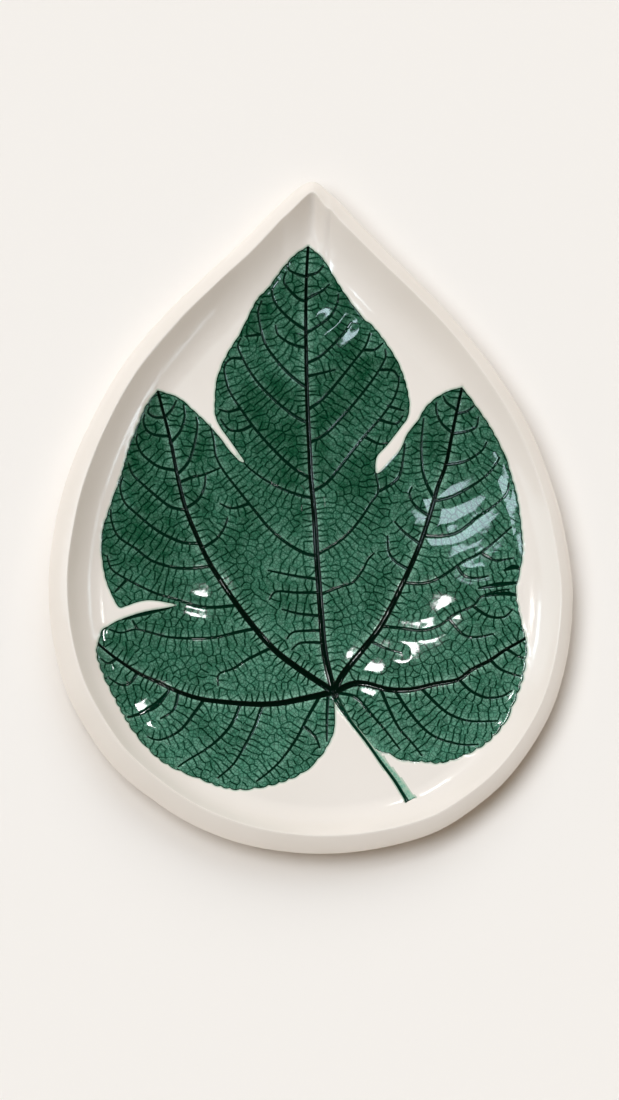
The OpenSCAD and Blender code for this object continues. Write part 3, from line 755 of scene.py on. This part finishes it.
# %% Wiring helper
class Wiring:
    """Adds nodes to a tree and links or sets their inputs in one call."""

    def __init__(self, tree):
        self.tree = tree

    def put(self, value, socket):
        """Links another socket to this one, or sets a plain value."""
        if isinstance(value, bpy.types.NodeSocket):
            self.tree.links.new(value, socket)
        else:
            socket.default_value = value

    def node(self, kind, inputs=None, **settings):
        node = self.tree.nodes.new(kind)
        for key, value in settings.items():
            setattr(node, key, value)
        for key, value in (inputs or {}).items():
            self.put(value, node.inputs[key])
        return node

    def math(self, operation, a, b):
        return self.node("ShaderNodeMath", {0: a, 1: b}, operation=operation).outputs[0]

    def times(self, a, b):
        return self.math("MULTIPLY", a, b)

    def minus(self, a, b):
        return self.math("SUBTRACT", a, b)

    def ramp(self, value, low, high, start=0.0, end=1.0):
        """start below low, end above high and a soft step between them."""
        inputs = {"Value": value, "From Min": low, "From Max": high, "To Min": start, "To Max": end}
        return self.node("ShaderNodeMapRange", inputs, interpolation_type="SMOOTHSTEP").outputs[0]

    def noise(self, vector, scale, detail, roughness, seed):
        inputs = {"Vector": vector, "W": seed, "Scale": scale, "Detail": detail,
                  "Roughness": roughness}
        return self.node("ShaderNodeTexNoise", inputs, noise_dimensions="4D").outputs[0]

    def mix(self, factor, a, b):
        """Colour a where factor is 0, colour b where it is 1."""
        node = self.node("ShaderNodeMix", data_type="RGBA")
        sockets = {s.identifier: s for s in node.inputs}
        for key, value in (("Factor_Float", factor), ("A_Color", a), ("B_Color", b)):
            self.put((*value, 1) if isinstance(value, tuple) else value, sockets[key])
        return next(s for s in node.outputs if s.identifier == "Result_Color")

    def place(self):
        return self.node("ShaderNodeTexCoord").outputs["Object"]

    def stored(self, name):
        return self.node("ShaderNodeAttribute", attribute_name=name).outputs["Fac"]


def new_group(name, kind, inputs, outputs):
    """A node group, from the type and default of each input and the type of each output."""
    tree = bpy.data.node_groups.new(name, kind)
    for title, (socket_type, value) in inputs.items():
        socket = tree.interface.new_socket(title, in_out="INPUT", socket_type=socket_type)
        if value is not None:
            socket.default_value = value
    for title, socket_type in outputs.items():
        tree.interface.new_socket(title, in_out="OUTPUT", socket_type=socket_type)
    given, result = tree.nodes.new("NodeGroupInput"), tree.nodes.new("NodeGroupOutput")
    return tree, Wiring(tree), given.outputs, result.inputs


def new_material(name):
    """A node material with its wiring and the inputs of its Principled shader."""
    material = bpy.data.materials.new(name)
    material.use_nodes = True
    tree = material.node_tree
    return material, Wiring(tree), tree.nodes["Principled BSDF"].inputs


def add_bump(w, shader, strength, depth, height):
    """Small waves in the light on a surface, which are not worth a mesh."""
    inputs = {"Strength": strength, "Distance": depth, "Height": height}
    w.put(w.node("ShaderNodeBump", inputs).outputs["Normal"], shader["Normal"])


FLOAT, COLOR = "NodeSocketFloat", "NodeSocketColor"
print("wiring ready")

# %% [markdown]
# The small unevenness of a glaze.
# Molten glaze lies in soft waves and holds a few iron specks, and clay has dark grains. They share
# one node group: a speck mask, a height for a bump and a slow drift of tone, with its sizes as
# inputs.

# %% Glaze unevenness group
uneven, w, given, result = new_group(
    "glaze_unevenness", "ShaderNodeTree",
    {"Wave size": (FLOAT, 90.0), "Speck size": (FLOAT, 150.0), "Speck share": (FLOAT, 0.03)},
    {"Height": FLOAT, "Speck": FLOAT, "Drift": FLOAT})
place = w.place()
cells = w.node("ShaderNodeTexVoronoi", {"Vector": place, "Scale": given["Speck size"]}).outputs
chance = w.node("ShaderNodeSeparateColor", {0: cells["Color"]}).outputs
chosen = w.math("LESS_THAN", chance[0], given["Speck share"])
dot = w.math("LESS_THAN", cells["Distance"], w.ramp(chance[1], 0.0, 1.0, 0.05, 0.22))
w.put(w.noise(place, given["Wave size"], 2.0, 0.45, 1.0), result["Height"])
w.put(w.times(chosen, dot), result["Speck"])
w.put(w.noise(place, 16.0, 3.0, 0.5, 2.0), result["Drift"])
print("group", uneven.name)

# %% [markdown]
# White glaze.
# It is warm, a little creamier where it is thick, and it takes a green tint for about a millimetre
# around the leaf, where the two glazes ran into each other. Below the edge it is thin, and the clay
# warms it.

# %% White glaze
GLAZE_IOR, WAVE_DEPTH = 1.5, 0.0004
MILK, CREAM, THIN = (0.88, 0.825, 0.765), (0.84, 0.785, 0.722), (0.70, 0.635, 0.565)
HALO_GREEN, IRON = (0.36, 0.52, 0.40), (0.16, 0.11, 0.07)
white_glaze, w, shader = new_material("milk_white_glaze")
bumps = w.node("ShaderNodeGroup", {"Wave size": 110.0, "Speck size": 95.0, "Speck share": 0.010},
               node_tree=uneven).outputs
warm = w.mix(w.ramp(bumps["Drift"], 0.3, 0.7), MILK, CREAM)
tinted = w.mix(w.ramp(w.stored("edge_gap"), -1.0, -0.05, 0.0, 0.75), warm, HALO_GREEN)
w.put(w.mix(bumps["Speck"], tinted, IRON), shader["Base Color"])
w.put(w.ramp(bumps["Drift"], 0.3, 0.7, 0.10, 0.18), shader["Roughness"])
w.put(GLAZE_IOR, shader["IOR"])
add_bump(w, shader, 0.25, WAVE_DEPTH, bumps["Height"])
thin_glaze = white_glaze.copy()
thin_glaze.name = "thin_white_glaze"
thin_base = thin_glaze.node_tree.nodes["Principled BSDF"].inputs["Base Color"]
thin_glaze.node_tree.links.remove(thin_base.links[0])
thin_base.default_value = (*THIN, 1)
print("materials", white_glaze.name, thin_glaze.name)

# %% [markdown]
# Green glaze.
# It is a clear green glass. It is deep in clouds where it pooled and darker towards the tip and the
# left, pale on the shoulders beside the veins, and nearly black in the grooves. The same colour
# group serves the fields and the veins, so their borders cannot show.

# %% Leaf colour group
GAPS = ("main_gap", "side_gap", "net_gap", "edge_gap")
leaf_colour, w, given, result = new_group(
    "leaf_glaze_colour", "ShaderNodeTree",
    {"Mid": (COLOR, (0.062, 0.228, 0.146, 1)), "Deep": (COLOR, (0.004, 0.064, 0.026, 1)),
     "Pale": (COLOR, (0.25, 0.49, 0.37, 1)), "Line": (COLOR, (0.0005, 0.020, 0.008, 1)),
     "Side": (COLOR, (0.0004, 0.018, 0.008, 1)), "Vein": (COLOR, (0.0006, 0.0060, 0.0030, 1))},
    {"Colour": COLOR})
place = w.place()
main_gap, side_gap, net_gap, edge_gap = (w.stored(name) for name in GAPS)
axes = w.node("ShaderNodeSeparateXYZ", {"Vector": place}).outputs
slope = w.minus(axes["Y"], w.times(axes["X"], 0.45))
cloud = w.noise(place, 60.0, 3.0, 0.55, 4.0)
grain = w.noise(place, 330.0, 3.0, 0.6, 5.0)
# The glaze pooled deeper in clouds, and the green is darker towards the tip and the left.
deep = w.math("ADD", w.ramp(cloud, 0.36, 0.64, 0.0, 0.40), w.ramp(slope, -0.12, 0.05, 0.0, 0.60))
clear = w.minus(1.0, w.times(deep, 0.65))
colour = w.mix(deep, given["Mid"], given["Deep"])
# Pale cells of the net, and pale shoulders along the veins.
between = w.ramp(net_gap, 0.05, 0.6)
in_cell = w.times(w.times(between, clear), w.ramp(grain, 0.34, 0.66, 0.05, 0.40))
colour = w.mix(in_cell, colour, given["Pale"])
by_side = w.times(w.ramp(side_gap, 0.15, 2.4, 0.45, 0.0), between)
by_main = w.times(w.ramp(main_gap, 0.1, 3.4, 0.95, 0.0), between)
colour = w.mix(w.times(w.math("MAXIMUM", by_side, by_main), clear), colour, given["Pale"])
# Dark lines, from the finest to the widest: threads, net, margin, side veins, main veins.
threads = w.node("ShaderNodeTexVoronoi", {"Vector": place, "Scale": 650.0},
                 feature="DISTANCE_TO_EDGE").outputs["Distance"]
faint = w.times(w.ramp(net_gap, 0.0, 0.31, 1.0, 0.0), w.ramp(cloud, 0.34, 0.60, 0.78, 1.0))
for mask, tone in ((w.ramp(threads, 0.01, 0.17, 0.6, 0.0), "Line"), (faint, "Line"),
                   (w.ramp(edge_gap, 0.2, 0.8, 0.85, 0.0), "Line"),
                   (w.ramp(side_gap, 0.10, 0.48, 1.0, 0.0), "Side"),
                   (w.ramp(main_gap, 0.15, 0.52, 1.0, 0.0), "Vein")):
    colour = w.mix(mask, colour, given[tone])
w.put(colour, result["Colour"])
print("group", leaf_colour.name)


# %% Green, vein and stem glaze
def leaf_glaze(name, roughness, tones=None):
    """A glossy green glaze over the print of the leaf."""
    material, w, shader = new_material(name)
    colours = w.node("ShaderNodeGroup", tones, node_tree=leaf_colour)
    bumps = w.node("ShaderNodeGroup", {"Wave size": 140.0}, node_tree=uneven)
    w.put(colours.outputs["Colour"], shader["Base Color"])
    w.put(roughness, shader["Roughness"])
    w.put(GLAZE_IOR, shader["IOR"])
    add_bump(w, shader, 0.2, WAVE_DEPTH, bumps.outputs["Height"])
    return material


green_glaze = leaf_glaze("leaf_green_glaze", 0.07)
vein_glaze = leaf_glaze("dark_vein_glaze", 0.07)
stem_glaze = leaf_glaze("pale_stem_glaze", 0.08, {
    "Mid": (0.36, 0.58, 0.45, 1), "Deep": (0.33, 0.56, 0.43, 1), "Pale": (0.15, 0.38, 0.27, 1),
    "Line": (0.46, 0.60, 0.48, 1), "Vein": (0.002, 0.034, 0.017, 1)})
print("materials", green_glaze.name, vein_glaze.name, stem_glaze.name)

# %% [markdown]
# Bare clay.
# The foot was wiped clean before firing, so the buff clay shows there with its sand and a few dark
# grains.

# %% Bare clay
BUFF, DARK_BUFF, GRAIN = (0.62, 0.51, 0.39), (0.50, 0.40, 0.29), (0.20, 0.13, 0.08)
bare_clay, w, shader = new_material("bare_clay")
sand = w.noise(w.place(), 900.0, 4.0, 0.65, 8.0)
bumps = w.node("ShaderNodeGroup", {"Wave size": 300.0, "Speck size": 420.0, "Speck share": 0.06},
               node_tree=uneven)
tone = w.mix(w.ramp(sand, 0.3, 0.7), BUFF, DARK_BUFF)
w.put(w.mix(bumps.outputs["Speck"], tone, GRAIN), shader["Base Color"])
w.put(0.85, shader["Roughness"])
add_bump(w, shader, 0.5, 0.0003, sand)
print("material", bare_clay.name)

# %% [markdown]
# Pressing the leaf, with Geometry Nodes.
# A real leaf leaves grooves where its veins were and soft pillows between them. Sculpting that by
# hand would be slow and could not be changed. Here the veins are wires, and a node tree measures
# how far each point of the skin is from the nearest wire and lowers it by a soft groove. The
# distances are stored for the colours.

# %% Vein wires
FOOT_HALF, FOLD_HALF = (0.7, 0.2), (0.2, 0.9, 0.3)


def wire(name, paths, halves):
    """A mesh of bare edges along the paths, with the vein's half width at each point."""
    verts, links, radius = [], [], []
    for path, half in zip(paths, halves):
        first = len(verts)
        verts += (np.column_stack([path, floor_height(path)]) * MM).tolist()
        links += [(first + k, first + k + 1) for k in range(len(path) - 1)]
        shares = np.linspace(0, 1, len(half))
        radius += (np.interp(np.linspace(0, 1, len(path)), shares, half) * MM).tolist()
    mesh = bpy.data.meshes.new(name)
    mesh.from_pydata(verts, links, [])
    mesh.attributes.new("radius", "FLOAT", "POINT").data.foreach_set("value", radius)
    return add_object(name, mesh)


stub = np.array([joint - [0.05, 0], joint + [0.05, 0]])
main_halves = [MAIN_HALF] * len(veins) + [stem_share(STEM_LINE), FOOT_HALF, (KNOT_R, KNOT_R)]
side_halves = [SIDE_HALF] * len(all_sides) + [FOLD_HALF] * len(folds)
wires = {
    "Main veins": wire("main_wire", [*veins.values(), stem, stem_foot, stub], main_halves),
    "Side veins": wire("side_wire", all_sides + folds, side_halves),
    "Fine net": wire("net_wire", net, net_halves),
    "Leaf edge": wire("edge_wire", [np.vstack([leaf_loop, leaf_loop[:1]])], [(0, 0)]),
}
print("wires", {name: len(obj.data.edges) for name, obj in wires.items()})

# %% Node tree that forms the plate
GEO, OBJ, MAT = "NodeSocketGeometry", "NodeSocketObject", "NodeSocketMaterial"
form_sizes = {
    "Press": 0.35 * MM, "Pillow": 0.22 * MM, "Pillow reach": 5.0 * MM, "Main depth": 0.75 * MM,
    "Side depth": 0.42 * MM, "Hand wave": 1.0 * MM, "Hand scale": 17.0}
# A groove starts at the second distance from the edge of its vein and is deepest at the first.
GROOVES = {"Main": (-0.5 * MM, 0.45 * MM), "Side": (-0.3 * MM, 0.4 * MM)}
form, w, given, result = new_group(
    "form_plate", "GeometryNodeTree",
    {"Geometry": (GEO, None), **{name: (OBJ, None) for name in wires},
     **{name: (FLOAT, value) for name, value in form_sizes.items()}, "Glaze": (MAT, None)},
    {"Geometry": GEO})
form.is_modifier = True


def named(attribute):
    """A number that the mesh already has at its points."""
    return w.node("GeometryNodeInputNamedAttribute", {"Name": attribute},
                  data_type="FLOAT").outputs["Attribute"]


here = w.node("GeometryNodeInputPosition").outputs[0]
gap = {}
for name in wires:
    veins_here = w.node("GeometryNodeObjectInfo", {"Object": given[name]},
                        transform_space="ORIGINAL").outputs["Geometry"]
    far = w.node("GeometryNodeProximity", {0: veins_here, "Source Position": here},
                 target_element="EDGES").outputs["Distance"]
    nearest = w.node("GeometryNodeSampleNearest", {
        "Geometry": veins_here, "Sample Position": here}).outputs["Index"]
    half = w.node("GeometryNodeSampleIndex", {
        "Geometry": veins_here, "Value": named("radius"), "Index": nearest}).outputs[0]
    gap[name] = w.minus(far, half)
margin = w.times(gap["Leaf edge"], w.minus(w.times(named("is_print"), 2.0), 1.0))
open_run = w.math("MINIMUM", w.math("MINIMUM", gap["Main veins"], gap["Side veins"]), margin)
pillow = w.times(w.ramp(open_run, 0.0, given["Pillow reach"]), given["Pillow"])
dips = [w.times(w.ramp(gap[kind + " veins"], low, high, 1.0, 0.0), given[kind + " depth"])
        for kind, (low, high) in GROOVES.items()]
relief = w.minus(w.minus(pillow, w.math("MAXIMUM", *dips)), given["Press"])
relief = w.times(relief, w.ramp(margin, -0.7 * MM, 0.5 * MM))
wave = w.minus(w.noise(here, given["Hand scale"], 1.5, 0.4, 3.0), 0.5)
above_foot = w.ramp(w.node("ShaderNodeSeparateXYZ", {0: here}).outputs["Z"], 1.0 * MM, 6.0 * MM)
wave = w.times(w.times(wave, given["Hand wave"]), above_foot)
normal = w.node("GeometryNodeInputNormal").outputs[0]
push = w.node("ShaderNodeVectorMath", {0: normal, "Scale": wave}, operation="SCALE").outputs[0]
lift = w.node("ShaderNodeCombineXYZ", {"Z": relief}).outputs[0]
shift = w.node("ShaderNodeVectorMath", {0: push, 1: lift}, operation="ADD").outputs[0]
shape = given["Geometry"]
for name, value in zip(GAPS, (gap["Main veins"], gap["Side veins"], gap["Fine net"], margin)):
    inputs = {"Geometry": shape, "Name": name, "Value": w.math("DIVIDE", value, MM)}
    shape = w.node("GeometryNodeStoreNamedAttribute", inputs,
                   data_type="FLOAT", domain="POINT").outputs[0]
shape = w.node("GeometryNodeSetPosition", {"Geometry": shape, "Offset": shift}).outputs[0]
shape = w.node("GeometryNodeRealizeInstances", {"Geometry": shape}).outputs[0]
inputs = {"Geometry": shape, "Material": given["Glaze"]}
shape = w.node("GeometryNodeSetMaterial", inputs).outputs[0]
w.put(shape, result[0])
print("tree", form.name, len(form.nodes), "nodes")

# %% Form the skin
skin_mesh = bpy.data.meshes.new("plate_skin")
skin_mesh.from_pydata((skin_points * MM).tolist(), [], skin_tris.tolist())
skin_mesh.attributes.new("is_print", "FLOAT", "POINT").data.foreach_set("value", is_print)
skin_mesh.polygons.foreach_set("use_smooth", np.ones(len(skin_tris), bool))
skin = add_object("plate_skin", skin_mesh)
modifier = skin.modifiers.new("form", "NODES")
modifier.node_group = form
sockets = {item.name: item.identifier
           for item in form.interface.items_tree if item.in_out == "INPUT"}
for name, value in {**wires, **form_sizes, "Glaze": white_glaze}.items():
    modifier[sockets[name]] = value
formed = bpy.data.meshes.new_from_object(skin.evaluated_get(bpy.context.evaluated_depsgraph_get()))
skin.modifiers.remove(modifier)


def read(items, key, width):
    """The values of all items of a mesh, in rows of some width."""
    values = np.empty(len(items) * width)
    items.foreach_get(key, values)
    return values.reshape(-1, width)


co, normals = (read(formed.vertices, key, 3) for key in ("co", "normal"))
gap_values = {name: read(formed.attributes[name].data, "value", 1)[:, 0] for name in GAPS}
for obj in [skin, *wires.values()]:
    bpy.data.objects.remove(obj)
print("formed", len(co), "points, heights", co[:, 2].min().round(5), co[:, 2].max().round(5))

# %% [markdown]
# Cutting the skin into pieces.
# Each piece of glaze is a thin closed body: its part of the formed skin, a back face and a narrow
# wall between the two. The white glazes are half a millimetre thick, and the green pools go down to
# the floor of their pocket.

# %% Piece maker
PRINT_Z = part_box("midrib")[0][2]
SHARP = math.radians(50)


def open_edges(tris):
    """The directed edges that only one triangle has."""
    pairs = np.vstack([tris[:, [0, 1]], tris[:, [1, 2]], tris[:, [2, 0]]])
    both = np.sort(pairs, axis=1)
    key = both[:, 0].astype(np.int64) * (tris.max() + 1) + both[:, 1]
    index, times = np.unique(key, return_index=True, return_counts=True)[1:]
    return pairs[index[times == 1]]


def fill(xy, border):
    """Triangles over the area to the left of closed chains of directed edges."""
    found = delaunay(xy, border.tolist(), [], 1e-5)
    tris = [[found[3][v][0] for v in tri] for tri in found[2]]
    owner = {(t[k], t[(k + 1) % 3]): n for n, t in enumerate(tris) for k in range(3)}
    fence = set(map(tuple, border.tolist()))
    inside = {owner[edge] for edge in fence if edge in owner}
    queue = list(inside)
    while queue:
        t = tris[queue.pop()]
        for k in range(3):
            edge = (t[k], t[(k + 1) % 3])
            other = None if edge in fence else owner.get(edge[::-1])
            if other is not None and other not in inside:
                inside.add(other)
                queue.append(other)
    return np.array([tris[n] for n in sorted(inside)])


def skirt(border, below):
    """Triangles of the walls that hang from directed border edges to the points below them."""
    a, b = border[:, 0], border[:, 1]
    return np.vstack([np.column_stack([b, a, below[a]]), np.column_stack([b, below[a], below[b]])])


def numbered(total, chosen, first):
    """New numbers from first on for the chosen ones of all points."""
    numbers = np.zeros(total, int)
    numbers[chosen] = first + np.arange(len(chosen))
    return numbers


def at_height(points, z):
    """Points moved straight up or down to one height."""
    return points * [1, 1, 0] + [0, 0, z]


def own_points(nodes):
    """The skin points that some solids use, and their triangles on those points."""
    chosen = np.isin(skin_label, [skin_names.index(node) for node in nodes])
    used, tris = np.unique(skin_tris[chosen], return_inverse=True)
    return used, tris.reshape(-1, 3)


def mesh_piece(name, node, points, tris, material, sources=None):
    """A mesh object that stands for one solid and moves with the plate."""
    mesh = bpy.data.meshes.new(name)
    mesh.from_pydata(points.tolist(), [], tris.tolist())
    mesh.polygons.foreach_set("use_smooth", np.ones(len(tris), bool))
    mesh.set_sharp_from_angle(angle=SHARP)
    for key in GAPS if sources is not None else ():
        values = gap_values[key][sources]
        mesh.attributes.new(key, "FLOAT", "POINT").data.foreach_set("value", values)
    mesh.materials.append(material)
    piece = add_object(name, mesh)
    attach(piece, "root")
    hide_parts(node)
    print(name, len(tris), "triangles, closed:", 2 * len(mesh.edges) == 3 * len(mesh.polygons))
    return piece


def white_piece(node, name, material):
    """One skin of white glaze, with a back that follows its face."""
    used, tris = own_points([node])
    n = len(used)
    points = np.vstack([co[used], co[used] - normals[used] * GLAZE_T * MM])
    faces = np.vstack([tris, tris[:, ::-1] + n, skirt(open_edges(tris), np.arange(n) + n)])
    return mesh_piece(name, node, points, faces, material, np.tile(used, 2))


def pool_piece(node, name, material):
    """One pool of leaf glaze, which goes down to the flat bottom of the print."""
    used, tris = own_points([node])
    border = open_edges(tris)
    brim, n = np.unique(border), len(used)
    bottom = fill(skin_points[used[brim], :2], numbered(n, brim, 0)[border])
    points = np.vstack([co[used], at_height(co[used[brim]], PRINT_Z)])
    faces = np.vstack([tris, skirt(border, numbered(n, brim, n)), bottom[:, ::-1] + n])
    return mesh_piece(name, node, points, faces, material, np.concatenate([used, used[brim]]))


print("piece maker ready")

# %% White pieces
for node, material in zip(WHITE_NODES, (white_glaze, white_glaze, thin_glaze)):
    white_piece(node, "white_" + node, material)

# %% Green pieces
for node in FIELDS:
    pool_piece(node, node + "_glaze", green_glaze)
for node in [*MAIN_VEINS, *SIDE_VEINS, "stalk_knot"]:
    pool_piece(node, node + "_glaze", vein_glaze)
pool_piece("leaf_stem", "leaf_stem_glaze", stem_glaze)

# %% [markdown]
# The clay body.
# Only its foot shows, but it is a whole body, so that the plate is not hollow when it is looked at
# from below or cut open: the backs of the white glazes, a pocket for the leaf and a flat foot.

# %% Clay body
used, tris = own_points(WHITE_NODES)
border = open_edges(tris)
at_foot = (used[border] < RIM_N).all(axis=1)
foot_edge, pocket_edge = border[at_foot], border[~at_foot]
foot_brim, pocket_brim = np.unique(foot_edge), np.unique(pocket_edge)
n = len(used)
pocket_start, sole_point = n + len(foot_brim), n + len(foot_brim) + len(pocket_brim)
foot_below, pocket_below = numbered(n, foot_brim, n), numbered(n, pocket_brim, pocket_start)
shell = co[used] - normals[used] * GLAZE_T * MM
clay_points = np.vstack([
    shell, at_height(shell[foot_brim], 0), at_height(co[used[pocket_brim]], PRINT_Z),
    [[0, HEART[1] * MM, 0]]])
sole = np.column_stack([foot_below[foot_edge[:, ::-1]], np.full(len(foot_edge), sole_point)])
pocket_chain = numbered(n, pocket_brim, 0)[pocket_edge][:, ::-1]
pocket = fill(skin_points[used[pocket_brim], :2], pocket_chain) + pocket_start
clay_tris = np.vstack([
    tris, skirt(foot_edge, foot_below), skirt(pocket_edge, pocket_below), sole, pocket])
mesh_piece("clay_body", "clay_slab", clay_points, clay_tris, bare_clay)

# %% [markdown]
# Floor and light.
# A pale floor under broad soft light: most of it from above and a little from the left, the rest
# from beyond the tip, and a warm sky that is bright near the horizon and dim overhead, so that the
# dark glaze does not mirror a white ceiling. Sun lamps with a wide angle light every part of the
# floor alike. Small panels that only gloss can see draw the highlights.

# %% Floor
FLOOR_R, FLOOR_SIDES, FLOOR_DROP = 40, 96, 0.00005
spin = np.linspace(0, 2 * math.pi, FLOOR_SIDES, endpoint=False)
floor_mesh = bpy.data.meshes.new("studio_floor")
corners = [(FLOOR_R * math.cos(t), FLOOR_R * math.sin(t), -FLOOR_DROP) for t in spin]
floor_mesh.from_pydata(corners, [], [list(range(FLOOR_SIDES))])
floor = add_object("studio_floor", floor_mesh)
floor_paint, w, shader = new_material("floor_paint")
w.put((0.935, 0.901, 0.862, 1), shader["Base Color"])
w.put(0.9, shader["Roughness"])
w.put(0.1, shader["Specular IOR Level"])
floor_mesh.materials.append(floor_paint)
print("floor", floor.name)


# %% Lamps
def add_lamp(name, kind, towards, place, colour):
    """A lamp that looks from its place towards a point."""
    lamp = bpy.data.lights.new(name, kind)
    lamp.color = colour
    holder = add_object(name, lamp)
    holder.location = place
    holder.rotation_euler = (Vector(towards) - Vector(place)).to_track_quat("-Z", "Y").to_euler()
    return lamp, holder


def add_panel(name, towards, place, size, bright, colour):
    """A panel of light that only gloss can see."""
    lamp, holder = add_lamp(name, "AREA", towards, place, colour)
    lamp.shape = "RECTANGLE"
    lamp.size, lamp.size_y = size
    lamp.energy = bright * math.pi * lamp.size * lamp.size_y
    holder.visible_diffuse = holder.visible_camera = False


DAYLIGHT, WHITE, BLUISH = (0.96, 0.99, 1.02), (1.0, 1.0, 1.0), (0.72, 0.90, 1.0)
# name: direction to the lamp, how wide it is in degrees, its share of the light on the floor
SUNS = {"overhead": ((-0.38, 0.00, 1.00), 45, 0.55), "back": ((0.10, 0.90, 0.85), 55, 0.30)}
# name: point of the floor that mirrors it, width and height, in millimetres, brightness, colour
PANELS = {
    "window": ((62, 4), (26, 13), 10, BLUISH),
    "low_window": ((68, -14), (17, 8), 10, BLUISH),
    "blob_1": ((56, -38), (6, 5), 40, WHITE),
    "blob_2": ((51, -52), (7, 6), 40, WHITE),
    "blob_3": ((42, -58), (8, 5), 40, WHITE),
    "blob_4": ((26, -66), (8, 4), 40, WHITE),
    "wedge": ((11, 88), (16, 4), 14, BLUISH),
    "left_streaks": ((-46, -34), (5, 6), 45, WHITE),
    "midrib_dots": ((0, 10), (0.5, 8), 15, WHITE),
    "low_left": ((-69, -90), (6, 6), 45, WHITE),
}
PANEL_FAR = 0.07
# A window and a bulb to the left shine in the lip, the right wall and the flanks of the grooves.
# name: point that it looks at, its place, its size in metres, brightness
LEFT_LIGHTS = {
    "left_window": ((-0.105, 0.02, 0.018), (-0.43, 0.16, 0.29), 0.26, 1.6),
    "left_bulb": ((0.105, -0.02, 0.012), (-0.227, 0.138, 0.341), 0.02, 80),
}
for name, (towards, wide, share) in SUNS.items():
    lamp, holder = add_lamp(name, "SUN", (0, 0, 0), towards, DAYLIGHT)
    lamp.angle = math.radians(wide)
    lamp.energy = share * math.pi / Vector(towards).normalized().z
    holder.visible_glossy = False
for name, ((x, y), (wide, tall), bright, colour) in PANELS.items():
    spot = Vector((x * MM, y * MM, FLOOR_Z * MM))
    mirrored = (spot - camera.location).normalized() * Vector((1, 1, -1))
    add_panel(name, spot, spot + mirrored * PANEL_FAR, (wide * MM, tall * MM), bright, colour)
for name, (towards, place, size, bright) in LEFT_LIGHTS.items():
    add_panel(name, towards, place, (size, size), bright, BLUISH)
print("lamps", list(SUNS), list(PANELS), list(LEFT_LIGHTS))

# %% Sky
WARM_SKY, PALE_WALL = (1.0, 0.82, 0.62), (0.905, 0.871, 0.831)
IN_GLOSS = 0.15
sky = bpy.data.worlds.new("studio_sky")
scene.world = sky
sky.use_nodes = True
w = Wiring(sky.node_tree)
view = w.node("ShaderNodeTexCoord").outputs["Generated"]
glow = w.ramp(w.node("ShaderNodeSeparateXYZ", {0: view}).outputs["Z"], 0.0, 0.75, 0.80, 0.03)
# The glaze mirrors little of the sky, as in a dim room, and the camera sees a pale wall.
rays = w.node("ShaderNodeLightPath").outputs
dimmed = w.times(glow, w.ramp(rays["Is Glossy Ray"], 0.0, 1.0, 1.0, IN_GLOSS))
back = sky.node_tree.nodes["Background"].inputs
w.put(w.mix(rays["Is Camera Ray"], WARM_SKY, PALE_WALL), back["Color"])
w.put(w.math("MAXIMUM", dimmed, rays["Is Camera Ray"]), back["Strength"])
print("sky", sky.name)

# %% [markdown]
# Finish.
# Colours go out as they are written.

# %% Finish
scene.view_settings.view_transform = "Standard"
